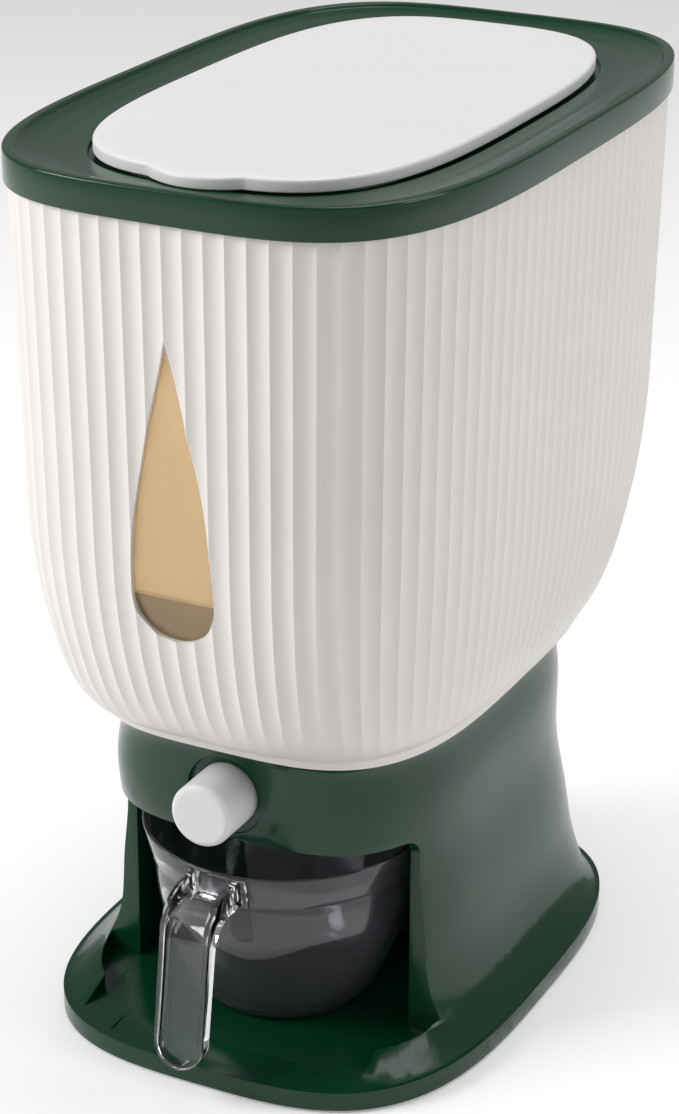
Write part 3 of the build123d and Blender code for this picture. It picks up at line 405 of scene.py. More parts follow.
def build_tank_tree():
    """Grid bent to the tank's wall, with hollow flutes between sharp ridges."""
    tree, given, result = new_geometry_tree("fluted tank", TANK)
    make, link = tree.nodes.new, tree.links.new
    size = given.outputs
    grid = make("GeometryNodeMeshGrid")
    grid.inputs["Size X"].default_value = 1
    grid.inputs["Size Y"].default_value = 1
    columns = maths(tree, "MULTIPLY_ADD", size["Flutes"], FLUTE_STEPS, 1)
    link(columns, grid.inputs["Vertices X"])
    grid.inputs["Vertices Y"].default_value = TANK_ROWS + 1
    where = make("ShaderNodeSeparateXYZ")
    link(make("GeometryNodeInputPosition").outputs[0], where.inputs[0])
    around = maths(tree, "ADD", where.outputs["X"], 0.5)
    level = maths(tree, "MAXIMUM", maths(tree, "ADD", where.outputs["Y"], 0.5), 0)
    up = maths(tree, "POWER", level, ROW_CROWDING)
    tall = maths(tree, "SUBTRACT", size["Top"], size["Foot"])
    height = maths(tree, "MULTIPLY_ADD", up, tall, size["Foot"])

    sample = make("GeometryNodeSampleCurve")
    sample.mode = "FACTOR"
    link(outline_curve(tree, given), sample.inputs["Curves"])
    link(maths(tree, "MINIMUM", around, 1.0), sample.inputs["Factor"])
    spot = make("ShaderNodeSeparateXYZ")
    link(sample.outputs["Position"], spot.inputs[0])
    run = make("ShaderNodeSeparateXYZ")
    link(sample.outputs["Tangent"], run.inputs[0])

    # lean of the upper wall, and how far the foot's curve has drawn it in
    drop = maths(tree, "MAXIMUM", maths(tree, "SUBTRACT", size["Draft Top"], height), 0)
    lean = maths(tree, "MULTIPLY", drop, size["Draft"])
    below = maths(tree, "MAXIMUM", maths(tree, "SUBTRACT", size["Knee"], height), 0)
    bend = maths(tree, "DIVIDE", below, maths(tree, "SUBTRACT", size["Knee"], size["Foot"]))
    keep = maths(tree, "SQRT", maths(tree, "MAXIMUM", maths(tree, "SUBTRACT", 1, power(tree, bend, 2)), 0))

    def drawn(foot, full):
        """Size at this height, between the foot's and the leaning wall's."""
        wide = maths(tree, "SUBTRACT", full, lean)
        return maths(tree, "MULTIPLY_ADD", maths(tree, "SUBTRACT", wide, foot), keep, foot)

    half_x = drawn(size["Foot Half Width"], size["Half Width"])
    back = drawn(size["Foot Back"], size["Half Depth"])
    front = drawn(maths(tree, "MULTIPLY", size["Foot Front"], -1), size["Half Depth"])
    half_y = maths(tree, "MULTIPLY", maths(tree, "ADD", back, front), 0.5)
    middle = maths(tree, "MULTIPLY", maths(tree, "SUBTRACT", back, front), 0.5)

    # the same direction on an outline that is a little rounder near the foot
    rounder = maths(tree, "SUBTRACT", size["Foot Fullness"], size["Fullness"])
    share = maths(tree, "MINIMUM", maths(tree, "MULTIPLY", bend, ROUNDING_PACE), 1)
    full = maths(tree, "MULTIPLY_ADD", rounder, share, size["Fullness"])
    unit_x = maths(tree, "DIVIDE", spot.outputs["X"], size["Half Width"])
    unit_y = maths(tree, "DIVIDE", spot.outputs["Y"], size["Half Depth"])
    total = maths(tree, "ADD", power(tree, unit_x, full), power(tree, unit_y, full))
    pull = maths(tree, "POWER", total, maths(tree, "DIVIDE", -1.0, full))

    flute = maths(tree, "FRACT", maths(tree, "MULTIPLY", around, size["Flutes"]))
    hollow = maths(tree, "MULTIPLY", maths(tree, "MULTIPLY", flute, maths(tree, "SUBTRACT", 1, flute)), 4)
    rise = maths(tree, "DIVIDE", maths(tree, "SUBTRACT", height, size["Foot"]), size["Fade"])
    fade = maths(tree, "MINIMUM", maths(tree, "MAXIMUM", rise, LEAST_FLUTE), 1)
    depth = maths(tree, "MULTIPLY", maths(tree, "MULTIPLY", hollow, fade), size["Flute Depth"])

    place = make("ShaderNodeCombineXYZ")
    flat_x = maths(tree, "MULTIPLY", maths(tree, "MULTIPLY", unit_x, pull), half_x)
    flat_y = maths(tree, "MULTIPLY_ADD", maths(tree, "MULTIPLY", unit_y, pull), half_y, middle)
    in_x = maths(tree, "MULTIPLY", run.outputs["Y"], depth)
    in_y = maths(tree, "MULTIPLY", run.outputs["X"], depth)
    link(maths(tree, "SUBTRACT", flat_x, in_x), place.inputs["X"])
    link(maths(tree, "ADD", flat_y, in_y), place.inputs["Y"])
    link(height, place.inputs["Z"])
    move = make("GeometryNodeSetPosition")
    link(grid.outputs["Mesh"], move.inputs["Geometry"])
    link(place.outputs[0], move.inputs["Position"])
    weld = make("GeometryNodeMergeByDistance")
    weld.inputs["Distance"].default_value = SEAM
    link(move.outputs["Geometry"], weld.inputs["Geometry"])
    finish_tree(tree, weld.outputs["Geometry"], given, result)
    return tree


tank_tree = build_tank_tree()
tank_wall = mesh_from_tree(tank_tree, "tank wall", {**TANK, "Finish": tank_white})
print("tank wall faces:", len(tank_wall.polygons))

# %% [markdown]
# The wall gets its thickness from Solidify, and the window is cut with a teardrop prism. Its edge is
# bevelled a little, because that thin bright line is what shows the wall's thickness in the photograph.

# %% The window's cutter
WINDOW_TIP = 357.7 * MM
WINDOW_MID = 243.5 * MM
WINDOW_R = 19.4 * MM
WINDOW_WAIST = Vector((14.8 * MM, 0, 292 * MM))
WAIST_LEAN, TIP_LEAN = -0.19, -0.235    # how far the outline leans in for each step up
SIDE_STEPS = 24
CUT_FROM, CUT_TO = 150 * MM, 185 * MM   # the cutter's reach from the middle to the front
WINDOW_EDGE = 0.5 * MM                  # round of the window's edge


def curve_between(start, start_way, end, end_way, steps):
    """Points of a smooth curve that leaves and arrives in given directions."""
    reach = (end - start).length
    for i in range(1, steps + 1):
        t = i / steps
        yield (
            start * (2 * t**3 - 3 * t**2 + 1) + start_way * reach * (t**3 - 2 * t**2 + t)
            + end * (3 * t**2 - 2 * t**3) + end_way * reach * (t**3 - t**2)
        )


def teardrop():
    """Half of the window's outline from its lowest point to its tip, then mirrored."""
    half = []
    for i in range(SIDE_STEPS + 1):
        angle = math.pi / 2 * i / SIDE_STEPS
        half.append(Vector((math.sin(angle) * WINDOW_R, 0, WINDOW_MID - math.cos(angle) * WINDOW_R)))
    waist_way = Vector((WAIST_LEAN, 0, 1)).normalized()
    tip, tip_way = Vector((0, 0, WINDOW_TIP)), Vector((TIP_LEAN, 0, 1)).normalized()
    half += list(curve_between(half[-1], Vector((0, 0, 1)), WINDOW_WAIST, waist_way, SIDE_STEPS))
    half += list(curve_between(WINDOW_WAIST, waist_way, tip, tip_way, SIDE_STEPS))
    return half + [Vector((-p.x, 0, p.z)) for p in reversed(half[1:-1])]


def prism(name, points, way, near, far):
    """Closed prism of an outline, from one distance to another along a direction."""
    mesh_edit = bmesh.new()
    low = [mesh_edit.verts.new(p + way * near) for p in points]
    high = [mesh_edit.verts.new(p + way * far) for p in points]
    for i in range(len(points)):
        k = (i + 1) % len(points)
        mesh_edit.faces.new((low[i], low[k], high[k], high[i]))
    mesh_edit.faces.new(list(reversed(low)))
    mesh_edit.faces.new(high)
    bmesh.ops.recalc_face_normals(mesh_edit, faces=mesh_edit.faces)
    return bpy.data.objects.new(name, plain_mesh(mesh_edit, name))


def carved(mesh, name, cutters=(), wall=0.0, bevel=0.0, bevel_angle=60, segments=2):
    """Apply a wall, cuts and a bevel to a mesh, and keep the plain result."""
    holder = bpy.data.objects.new(name, mesh)
    bpy.context.collection.objects.link(holder)
    if wall:
        solid = holder.modifiers.new("wall", "SOLIDIFY")
        solid.thickness = wall
        solid.offset = -1
        solid.use_even_offset = True
    for cutter in cutters:
        if cutter.name not in bpy.context.collection.objects:
            bpy.context.collection.objects.link(cutter)
        cut = holder.modifiers.new("cut", "BOOLEAN")
        cut.object = cutter
        cut.operation = "DIFFERENCE"
        cut.solver = "EXACT"
    if bevel:
        soften = holder.modifiers.new("bevel", "BEVEL")
        soften.width = bevel
        soften.segments = segments
        soften.limit_method = "ANGLE"
        soften.angle_limit = math.radians(bevel_angle)
    bpy.context.view_layer.update()
    shown = holder.evaluated_get(bpy.context.evaluated_depsgraph_get())
    result = bpy.data.meshes.new_from_object(shown)
    for extra in (holder, *cutters):
        bpy.data.objects.remove(extra)
    return result


window_cutter = prism("window cutter", teardrop(), Vector((0, -1, 0)), CUT_FROM, CUT_TO)
tank_mesh = carved(
    tank_wall, "tank", [window_cutter], wall=TANK_WALL, bevel=WINDOW_EDGE, bevel_angle=55
)
place_piece(tank_mesh, "fluted_tank", "base", tank_white, ["tank_shell"], sharp=30)

# %% [markdown]
# ## The collar
#
# The green collar is one moulding: an outer band, a thin flat rim, a shallow dish, and a groove in
# which the lid lies. It is a profile carried round the outline. Each corner of the profile has its own
# radius, because it is these small rounds that catch the light on glossy plastic.

# %% Profiles with rounded corners
LEAST_SLOPE = 0.2       # keeps a nearly straight corner from reaching too far
MOST_REACH = 0.49       # share of a side that one corner's round may take


def soft_profile(corners, steps=4):
    """Points of a profile. Each corner is (across, up, radius) in mm, and is rounded by its radius."""
    spots = [Vector(corner[:2]) for corner in corners]
    points = [spots[0]]
    for before, here, after, corner in zip(spots, spots[1:], spots[2:], corners[1:]):
        back, on = (before - here).normalized(), (after - here).normalized()
        reach = corner[2] / max(LEAST_SLOPE, math.tan(back.angle(on) / 2))
        reach = min(reach, (before - here).length * MOST_REACH, (after - here).length * MOST_REACH)
        start, end = here + back * reach, here + on * reach
        for i in range(steps + 1):
            t = i / steps
            points.append(start * (1 - t) ** 2 + here * 2 * t * (1 - t) + end * t**2)
    points.append(spots[-1])
    return [point * MM for point in points]


# %% The collar
collar_low, collar_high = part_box("collar")
LID_FULLNESS = 3.2
DISH_WIDTH = 28 * MM        # from the collar's edge to the groove round the lid
DISH_LONGER = 1.1 * MM      # the groove is set in less at the front and back, by this much
COLLAR_PROFILE = [
    (1.3, 405.9, 0), (0, 405.9, 0.5), (0, 420.0, 1.1), (3.8, 420.0, 0.8), (4.8, 418.3, 0.8),
    (9, 416.9, 5), (17, 415.5, 8), (28, 415.0, 0.8), (28.3, 413.0, 0.5), (34.5, 413.0, 0.5),
    (34.5, 415.0, 0.5), (39, 415.0, 0.6), (39, 403.0, 0.6), (36.5, 403.0, 0.6), (36.5, 411.0, 0.6),
    (4.9, 411.0, 0.4), (4.9, 415.7, 0.3), (1.3, 415.7, 0),
]


def collar_ring(inset, height):
    """Ring of the collar, set in from its outer band, rounder towards the lid."""
    share = min(1.0, inset / DISH_WIDTH)
    fullness = TANK["Fullness"] + (LID_FULLNESS - TANK["Fullness"]) * share
    longer = DISH_LONGER * share
    return ring(
        collar_high.x - inset, collar_low.y + inset - longer, collar_high.y - inset + longer,
        fullness, height,
    )


collar_rings = [collar_ring(*point) for point in soft_profile(COLLAR_PROFILE)]
collar_mesh = skin("collar ring", collar_rings, closed_loop=True)
place_piece(collar_mesh, "collar_ring", "base", collar_green, ["collar"], sharp=50)

# %% [markdown]
# ## The lid
#
# The lid is a flat white cover with a hanging rim that seals the mouth. Its front edge swells into a
# lip for a finger.

# %% The lid
lid_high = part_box("lid_cover")[1]
LID_HALF_Y = 145 * MM
LIP_PROUD = 7.6 * MM
LIP_FADE = 7 * MM           # the lip is gone this far in from the edge
LID_PROFILE = [
    (14.1, 418.4, 0), (14.1, 404.5, 0.5), (11.9, 404.5, 0.5), (11.9, 415.3, 0.6), (0, 415.3, 0.8),
    (0, 420.85, 1.6), (8, 421.0, 3), (40, 421.0, 0),
]


def lid_ring(inset, height):
    """Ring of the lid, set in from its edge, with the finger lip at the front."""
    lip = LIP_PROUD * max(0.0, 1 - inset / LIP_FADE)
    return ring(
        lid_high.x - inset, inset - LID_HALF_Y, LID_HALF_Y - inset, LID_FULLNESS, height, lip
    )


lid_mesh = skin("lid", [lid_ring(*point) for point in soft_profile(LID_PROFILE)])
place_piece(lid_mesh, "lid_top", "lid", lid_white, ["lid_cover"], sharp=50)

# %% [markdown]
# ## Clear and metal finishes
#
# The cup and its handle are smoky clear plastic, and the window is amber. Clear plastic needs its real
# thickness and nothing painted on: the bright rim and the dark edges come from light bending in the
# wall. Only the roughness varies a little, as from washing. The window's pane is a little milky. The
# steel parts share a group whose noise is squeezed: more along one axis it makes drawing lines, and
# evenly it makes a fine grain.

# %% Clear finishes
PLASTIC_IOR = 1.49
CLEAR_PEEL_SIZE = 120.0
CLEAR_PEEL_DEPTH = 0.02


def clear_finish(name, colour, roughness, drift, clearness=1.0):
    """Clear plastic whose gloss drifts a little. Under 1, its clearness leaves a milky share."""
    material, tree, shader = new_material(name)
    use_moulded(tree, shader, colour, roughness, drift, CLEAR_PEEL_SIZE, CLEAR_PEEL_DEPTH)
    shader.inputs["Transmission Weight"].default_value = clearness
    shader.inputs["IOR"].default_value = PLASTIC_IOR
    return material


smoky_clear = clear_finish("smoky clear", (0.68, 0.68, 0.74), 0.03, 0.02, clearness=0.96)
handle_clear = clear_finish("handle clear", (0.86, 0.86, 0.87), 0.03, 0.02)
amber_clear = clear_finish("amber clear", (0.66, 0.48, 0.26), 0.1, 0.04, clearness=0.66)
print("clear finishes made")

# %% Shared group: drawn steel
LINE_HEIGHT = 0.1 * MM      # height of the lines at a depth of 1

drawn = bpy.data.node_groups.new("drawn steel", "ShaderNodeTree")
add_socket(drawn, "Stretch", "NodeSocketVector", (300.0, 300.0, 2000.0))
add_socket(drawn, "Rough Low", "NodeSocketFloat", 0.25)
add_socket(drawn, "Rough High", "NodeSocketFloat", 0.45)
add_socket(drawn, "Line Depth", "NodeSocketFloat", 0.1)
add_socket(drawn, "Roughness", "NodeSocketFloat", output=True)
add_socket(drawn, "Normal", "NodeSocketVector", output=True)


def build_drawn(tree):
    """Squeezed noise sets the roughness and the small height of the lines."""
    make, link = tree.nodes.new, tree.links.new
    given, result = make("NodeGroupInput"), make("NodeGroupOutput")
    place = make("ShaderNodeTexCoord")
    squeeze = make("ShaderNodeVectorMath")
    squeeze.operation = "MULTIPLY"
    link(place.outputs["Object"], squeeze.inputs[0])
    link(given.outputs["Stretch"], squeeze.inputs[1])
    lines = make("ShaderNodeTexNoise")
    lines.inputs["Scale"].default_value = 1
    link(squeeze.outputs[0], lines.inputs["Vector"])
    spread = make("ShaderNodeMapRange")
    link(lines.outputs["Fac"], spread.inputs["Value"])
    link(given.outputs["Rough Low"], spread.inputs["To Min"])
    link(given.outputs["Rough High"], spread.inputs["To Max"])
    link(spread.outputs[0], result.inputs["Roughness"])
    bump = make("ShaderNodeBump")
    bump.inputs["Distance"].default_value = LINE_HEIGHT
    link(given.outputs["Line Depth"], bump.inputs["Strength"])
    link(lines.outputs["Fac"], bump.inputs["Height"])
    link(bump.outputs["Normal"], result.inputs["Normal"])


build_drawn(drawn)


def steel_finish(name, shade, stretch, rough_low, rough_high):
    """Bare or plated steel with its own line direction."""
    material, tree, shader = new_material(name)
    group = tree.nodes.new("ShaderNodeGroup")
    group.node_tree = drawn
    group.inputs["Stretch"].default_value = stretch
    group.inputs["Rough Low"].default_value = rough_low
    group.inputs["Rough High"].default_value = rough_high
    shader.inputs["Base Color"].default_value = (*shade, 1)
    shader.inputs["Metallic"].default_value = 1.0
    tree.links.new(group.outputs["Roughness"], shader.inputs["Roughness"])
    tree.links.new(group.outputs["Normal"], shader.inputs["Normal"])
    return material


spring_steel = steel_finish("spring steel", (0.55, 0.55, 0.56), (900, 900, 900), 0.2, 0.35)
pin_steel = steel_finish("pin steel", (0.6, 0.6, 0.6), (2500, 2500, 60), 0.2, 0.4)
screw_zinc = steel_finish("screw zinc", (0.62, 0.63, 0.66), (700, 700, 700), 0.3, 0.5)
print("steel finishes made")

# %% [markdown]
# ## The cup
#
# The cup is turned: one profile spun round a line. It runs up the outside, over a stepped band and a
# rounded rim, and down the inside to a floor that is thicker than the wall.

# %% Smooth lines and turned shapes
def smooth_through(points, first_way, last_way, steps):
    """Curve through points. Between the ends its direction follows its neighbours."""
    spots = [Vector((x * MM, 0, z * MM)) for x, z in points]
    ways = [(two - one).normalized() for one, two in zip(spots, spots[2:])]
    ways = [Vector((first_way[0], 0, first_way[1])).normalized(), *ways]
    ways.append(Vector((last_way[0], 0, last_way[1])).normalized())
    line = [spots[0]]
    for one, way, two, next_way in zip(spots, ways, spots[1:], ways[1:]):
        line += list(curve_between(one, way, two, next_way, steps))
    return [Vector((point.x, point.z)) for point in line]


def turned(name, profile, centre, segments):
    """Closed mesh of a profile (radius, height) spun round an upright line, with poles at its ends."""
    mesh_edit = bmesh.new()
    poles = [mesh_edit.verts.new((centre.x, centre.y, point.y)) for point in (profile[0], profile[-1])]
    rows = []
    for radius, height in (tuple(point) for point in profile[1:-1]):
        rows.append([
            mesh_edit.verts.new((
                centre.x + radius * math.cos(2 * math.pi * i / segments),
                centre.y + radius * math.sin(2 * math.pi * i / segments), height,
            ))
            for i in range(segments)
        ])
    for i in range(segments):
        k = (i + 1) % segments
        mesh_edit.faces.new((poles[0], rows[0][k], rows[0][i]))
        mesh_edit.faces.new((poles[1], rows[-1][i], rows[-1][k]))
        for low, high in zip(rows, rows[1:]):
            mesh_edit.faces.new((low[i], low[k], high[k], high[i]))
    bmesh.ops.recalc_face_normals(mesh_edit, faces=mesh_edit.faces)
    return plain_mesh(mesh_edit, name)


# %% The cup
cup_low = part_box("cup")[0]
CUP_CENTRE = Vector((0, -70 * MM, 0))
CUP_SEGMENTS = 192
CUP_OUTSIDE = [(36, 12.3), (42, 16.5), (52.6, 40), (58.4, 62), (60.2, 82.4)]
CUP_RIM = [
    (60.2, 82.4, 0), (60.3, 83.0, 0.3), (61.6, 83.3, 0.4), (65.4, 99.6, 0.9), (63.2, 99.6, 0.9),
    (58.4, 80.0, 0),
]
CUP_INSIDE = [(58.4, 80), (56.0, 61), (50.2, 41), (41.0, 22), (33, 16.3)]
cup_line = [Vector((0, cup_low.z))]
cup_line += smooth_through(CUP_OUTSIDE, (1, 0), (0.06, 1), 8)
cup_line += soft_profile(CUP_RIM)[1:]
cup_line += smooth_through(CUP_INSIDE, (-0.2, -1), (-1, 0), 8)[1:]
cup_line.append(Vector((0, cup_line[-1].y)))
cup_mesh = turned("cup", cup_line, CUP_CENTRE, CUP_SEGMENTS)
place_piece(cup_mesh, "clear_cup", "cup_body", smoky_clear, ["cup"], sharp=50)

# %% [markdown]
# ## Softened mouldings
#
# The base, the hopper, the bush and the cup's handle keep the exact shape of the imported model. No
# moulding has razor edges, though, and an edge without a round catches no light. A copy of each mesh is
# welded, its flat fans of triangles are joined into single faces, and its edges get a small bevel.

# %% Copies with soft edges
WELD = 0.004 * MM       # points nearer than this are one point
FLAT_ENOUGH = math.radians(0.3)
EDGE_ANGLE = 32         # degrees: edges that turn more get the bevel
SHADING_ANGLE = 28      # degrees: edges that turn more stay sharp in the shading


def softened(node, name, width, finish, body, segments=2):
    """Welded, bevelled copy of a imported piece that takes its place."""
    mesh_edit = bmesh.new()
    mesh_edit.from_mesh(nodes[node].data)
    bmesh.ops.remove_doubles(mesh_edit, verts=mesh_edit.verts, dist=WELD)
    bmesh.ops.dissolve_limit(
        mesh_edit, angle_limit=FLAT_ENOUGH, verts=mesh_edit.verts, edges=mesh_edit.edges
    )
    mesh = plain_mesh(mesh_edit, name)
    mesh = carved(mesh, name, bevel=width, bevel_angle=EDGE_ANGLE, segments=segments)
    place_piece(mesh, name, body, finish, [node], sharp=SHADING_ANGLE)


softened("base_housing", "base_shell", 0.5 * MM, base_green, "base")
softened("hopper", "hopper_shell", 0.3 * MM, hopper_white, "base")
softened("button_bush", "bush_ring", 0.25 * MM, base_green, "base")
softened("cup_handle", "clear_handle", 0.45 * MM, handle_clear, "cup_body", segments=3)

# %% [markdown]
# ## The screws
#
# Fourteen self-tapping screws in three sets hold the dispenser together. They repeat, so one Geometry
# Nodes tree makes a screw from its sizes, cuts the cross in its head, winds its thread, and places a
# copy on every point that it is given.

# %% A tree for the screws
SCREW = {
    "Head Radius": 3.1 * MM, "Head Height": 2.2 * MM, "Shank Radius": 1.6 * MM,
    "Shank Length": 20 * MM, "Pitch": 1.4 * MM,
}
SCREW_SIDES = 24
THREAD_STEPS = 12       # points of the thread in one turn
CROSS_SHARE = 1.15      # length of the cross against the head's radius
CROSS_WIDTH = 0.8 * MM
CROSS_DEPTH = 0.7       # depth of the cross against the head's height
CORE_SHARE = 0.78       # radius of the core against the shank's
RIDGE_SHARE = 0.22      # height of the thread against the shank's radius
SHANK_SHARE = 0.94      # the plain shank against the whole length, then comes the tip
TIP_SHARE = 0.06
TIP_RADIUS = 0.2 * MM
THREAD_FROM = 0.1       # where the thread starts, and how long it is, against the length
THREAD_SHARE = 0.8
RIDGE_SIDES = 4


def shape_node(tree, kind, **values):
    """Mesh primitive with its sizes set or linked; gives back its mesh."""
    node = tree.nodes.new(kind)
    for label, value in values.items():
        socket = node.inputs[label.replace("_", " ")]
        if isinstance(value, (int, float)):
            socket.default_value = value
        else:
            tree.links.new(value, socket)
    return node.outputs["Mesh"]


def moved(tree, geometry, up, turn=0.0):
    """Geometry lifted by a height and turned about the screw's line."""
    node = tree.nodes.new("GeometryNodeTransform")
    lift = tree.nodes.new("ShaderNodeCombineXYZ")
    tree.links.new(up, lift.inputs["Z"])
    tree.links.new(lift.outputs[0], node.inputs["Translation"])
    node.inputs["Rotation"].default_value = (0, 0, turn)
    tree.links.new(geometry, node.inputs["Geometry"])
    return node.outputs["Geometry"]


def build_head(tree, size):
    """The head below the origin, with a cross cut into it from below."""
    make, link = tree.nodes.new, tree.links.new
    head = shape_node(
        tree, "GeometryNodeMeshCylinder", Vertices=SCREW_SIDES, Radius=size["Head Radius"],
        Depth=size["Head Height"],
    )
    head = moved(tree, head, maths(tree, "MULTIPLY", size["Head Height"], -0.5))
    arm = make("ShaderNodeCombineXYZ")
    link(maths(tree, "MULTIPLY", size["Head Radius"], CROSS_SHARE), arm.inputs["X"])
    arm.inputs["Y"].default_value = CROSS_WIDTH
    link(maths(tree, "MULTIPLY", size["Head Height"], 2 * CROSS_DEPTH), arm.inputs["Z"])
    bar = shape_node(tree, "GeometryNodeMeshCube", Size=arm.outputs[0])
    low = maths(tree, "MULTIPLY", size["Head Height"], -1)
    cut = make("GeometryNodeMeshBoolean")
    cut.operation = "DIFFERENCE"
    link(head, cut.inputs["Mesh 1"])
    for turn in (0.0, math.pi / 2):
        link(moved(tree, bar, low, turn), cut.inputs["Mesh 2"])
    return cut.outputs["Mesh"]


def build_shank(tree, size, core_radius):
    """The shank above the origin and its tip."""
    length = size["Shank Length"]
    shank_top = maths(tree, "MULTIPLY", length, SHANK_SHARE)
    shank = shape_node(
        tree, "GeometryNodeMeshCylinder", Vertices=SCREW_SIDES, Radius=core_radius, Depth=shank_top
    )
    shank = moved(tree, shank, maths(tree, "MULTIPLY", shank_top, 0.5))
    tip = shape_node(
        tree, "GeometryNodeMeshCone", Vertices=SCREW_SIDES, Radius_Bottom=core_radius,
        Radius_Top=TIP_RADIUS, Depth=maths(tree, "MULTIPLY", length, TIP_SHARE),
    )
    return shank, moved(tree, tip, shank_top)


def build_thread(tree, size, core_radius):
    """A ridge wound round the core."""
    make, link = tree.nodes.new, tree.links.new
    wound = maths(tree, "MULTIPLY", size["Shank Length"], THREAD_SHARE)
    winding = make("GeometryNodeCurveSpiral")
    link(maths(tree, "DIVIDE", wound, size["Pitch"]), winding.inputs["Rotations"])
    winding.inputs["Resolution"].default_value = THREAD_STEPS
    link(core_radius, winding.inputs["Start Radius"])
    link(core_radius, winding.inputs["End Radius"])
    link(wound, winding.inputs["Height"])
    section = make("GeometryNodeCurvePrimitiveCircle")
    section.inputs["Resolution"].default_value = RIDGE_SIDES
    link(maths(tree, "MULTIPLY", size["Shank Radius"], RIDGE_SHARE), section.inputs["Radius"])
    thread = make("GeometryNodeCurveToMesh")
    link(winding.outputs["Curve"], thread.inputs["Curve"])
    link(section.outputs["Curve"], thread.inputs["Profile Curve"])
    thread.inputs["Fill Caps"].default_value = True
    return moved(tree, thread.outputs["Mesh"], maths(tree, "MULTIPLY", size["Shank Length"], THREAD_FROM))


def build_screw_tree():
    """One screw, copied to every point."""
    tree, given, result = new_geometry_tree("screw set", SCREW, takes_geometry=True)
    make, link = tree.nodes.new, tree.links.new
    size = given.outputs
    core_radius = maths(tree, "MULTIPLY", size["Shank Radius"], CORE_SHARE)
    head = build_head(tree, size)
    shank, tip = build_shank(tree, size, core_radius)
    thread = build_thread(tree, size, core_radius)
    whole = make("GeometryNodeJoinGeometry")
    for piece in (head, shank, tip, thread):
        link(piece, whole.inputs["Geometry"])
    copies = make("GeometryNodeInstanceOnPoints")
    link(size["Geometry"], copies.inputs["Points"])
    link(whole.outputs["Geometry"], copies.inputs["Instance"])
    finish_tree(tree, copies.outputs["Instances"], given, result)
    return tree


screw_tree = build_screw_tree()
SCREW_SETS = {
    "plate_screws": {"Head Height": 1.3 * MM, "Shank Length": 5 * MM},
    "gate_screws": {"Head Height": 2.2 * MM, "Shank Length": 40 * MM},
    "tank_screws": {"Head Height": 2.4 * MM, "Shank Length": 40 * MM},
}


def screw_points(node):
    """Middle of the lowest end of every screw in a packed set, found from its separate solids."""
    islands = bmesh.new()
    islands.from_mesh(nodes[node].data)
    bmesh.ops.remove_doubles(islands, verts=islands.verts, dist=WELD)
    seen, spots = set(), []
    for start in islands.verts:
        if start in seen:
            continue
        seen.add(start)
        island = [start]
        for vertex in island:
            for edge in vertex.link_edges:
                other = edge.other_vert(vertex)
                if other not in seen:
                    seen.add(other)
                    island.append(other)
        low = [min(vertex.co[axis] for vertex in island) for axis in range(3)]
        high = [max(vertex.co[axis] for vertex in island) for axis in range(3)]
        spots.append(((low[0] + high[0]) / 2, (low[1] + high[1]) / 2, low[2]))
    islands.free()
    return spots


for node, sizes in SCREW_SETS.items():
    points_mesh = bpy.data.meshes.new(node + " points")
    heads = [(x, y, z + sizes["Head Height"]) for x, y, z in screw_points(node)]
    points_mesh.from_pydata(heads, [], [])
    mesh = mesh_from_tree(screw_tree, node, {**sizes, "Finish": screw_zinc}, points_mesh)
    place_piece(mesh, node + "_set", "base", screw_zinc, [node], sharp=40)
    print(node, "screws:", len(heads))

# %% [markdown]
# ## The pieces that stay
#
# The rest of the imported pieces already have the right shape. They only get their finishes.

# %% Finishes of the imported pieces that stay
FINISHES = {
    "window_lens": amber_clear, "button_cap": button_white, "bottom_plate": plate_green,
    "gate_cover": works_grey, "gate_housing": works_grey, "gate_slider": works_grey,
    "chute_seal": seal_white, "lid_seal": seal_white, "return_spring": spring_steel,
    "button_pin": pin_steel, "foot_pad_front_left": pad_black, "foot_pad_front_right": pad_black,
    "foot_pad_rear_left": pad_black, "foot_pad_rear_right": pad_black,
}
for name, finish in FINISHES.items():
    nodes[name].data.materials.clear()
    nodes[name].data.materials.append(finish)
print("pieces that keep their packed shape:", len(FINISHES))

# %% [markdown]
# ## Floor, world and lamps
#
# The photograph has a white ground and soft light that comes mostly from the left. The floor is pale,
# and glows a little only for the camera and for what reflects or refracts it. So it looks white without
# lighting the object, and it keeps the object's shadow. The real tank's white wall lets some daylight
# through, which makes its window bright. A small lamp inside stands in for that.

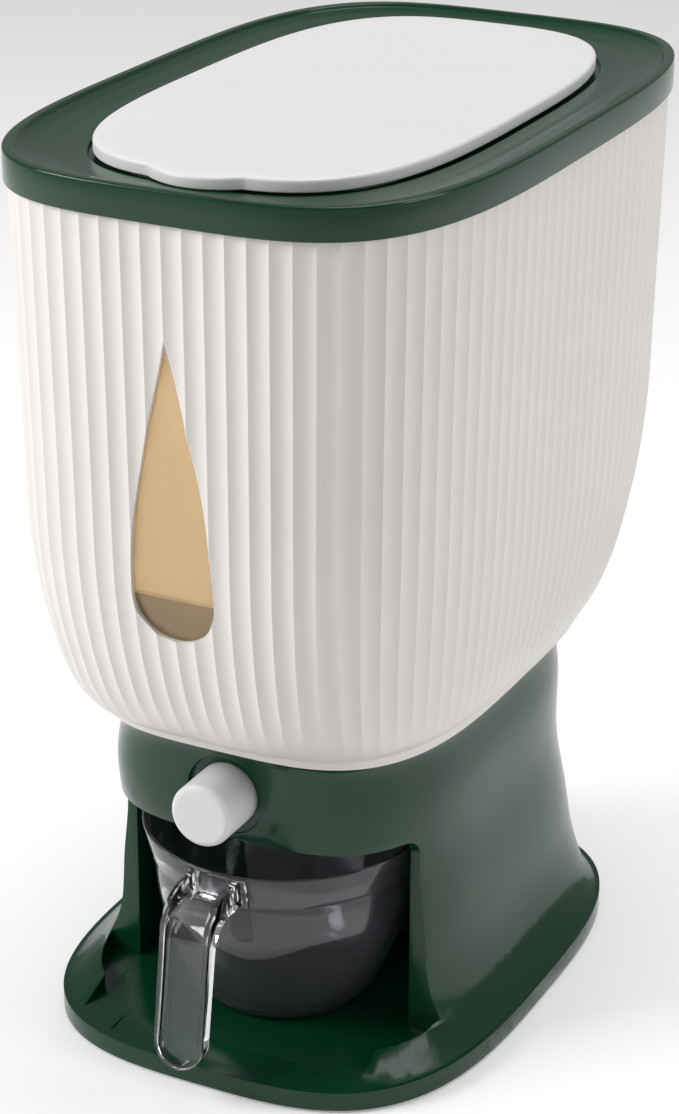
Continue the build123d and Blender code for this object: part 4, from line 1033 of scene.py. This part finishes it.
# %% Floor, world and lamps
WORLD_STRENGTH = 0.3
FLOOR_GLOW = 0.26
FLOOR_HALF = 6
FLOOR_CORNERS = [(-1, -1), (1, -1), (1, 1), (-1, 1)]
FLOOR_PALE = (0.9, 0.9, 0.9, 1)
WHITE = (1, 1, 1, 1)
floor_mesh = bpy.data.meshes.new("floor")
floor_mesh.from_pydata(
    [(x * FLOOR_HALF, y * FLOOR_HALF, 0) for x, y in FLOOR_CORNERS], [], [(0, 1, 2, 3)]
)
floor = bpy.data.objects.new("floor", floor_mesh)
bpy.context.collection.objects.link(floor)
floor_material, floor_tree, floor_shader = new_material("pale floor")
floor_shader.inputs["Base Color"].default_value = FLOOR_PALE
floor_shader.inputs["Roughness"].default_value = 0.9
floor_shader.inputs["Emission Color"].default_value = WHITE
light_path = floor_tree.nodes.new("ShaderNodeLightPath")
rays = light_path.outputs
seen = maths(floor_tree, "MAXIMUM", rays["Is Camera Ray"], rays["Is Glossy Ray"])
seen = maths(floor_tree, "MAXIMUM", seen, rays["Is Transmission Ray"])
glow = maths(floor_tree, "MULTIPLY", seen, FLOOR_GLOW)
floor_tree.links.new(glow, floor_shader.inputs["Emission Strength"])
floor_mesh.materials.append(floor_material)

world = bpy.data.worlds.new("studio")
bpy.context.scene.world = world
world.use_nodes = True
world.node_tree.nodes["Background"].inputs["Color"].default_value = WHITE
world.node_tree.nodes["Background"].inputs["Strength"].default_value = WORLD_STRENGTH

LAMP_TARGET = Vector((0, 0, 0.2))
LAMPS = [               # name, place, size and power
    ("key", (-1.4, -1.2, 1.3), 1.0, 29), ("fill", (1.6, 0.3, 0.8), 0.8, 7),
    ("top", (0.2, 0.5, 1.9), 1.2, 13),
]
for name, place, size, watts in LAMPS:
    data = bpy.data.lights.new(name, "AREA")
    data.size = size
    data.energy = watts
    lamp = bpy.data.objects.new(name, data)
    lamp.location = place
    lamp.rotation_euler = (LAMP_TARGET - Vector(place)).to_track_quat("-Z", "Y").to_euler()
    bpy.context.collection.objects.link(lamp)

INNER_PLACE = (0.03, -0.02, 0.36)
INNER_WATTS = 0.55
glow_data = bpy.data.lights.new("light through the wall", "POINT")
glow_data.energy = INNER_WATTS
glow_data.shadow_soft_size = 0.03
inner_lamp = bpy.data.objects.new("light through the wall", glow_data)
inner_lamp.location = INNER_PLACE
bpy.context.collection.objects.link(inner_lamp)
print("lamps:", len(LAMPS) + 1)
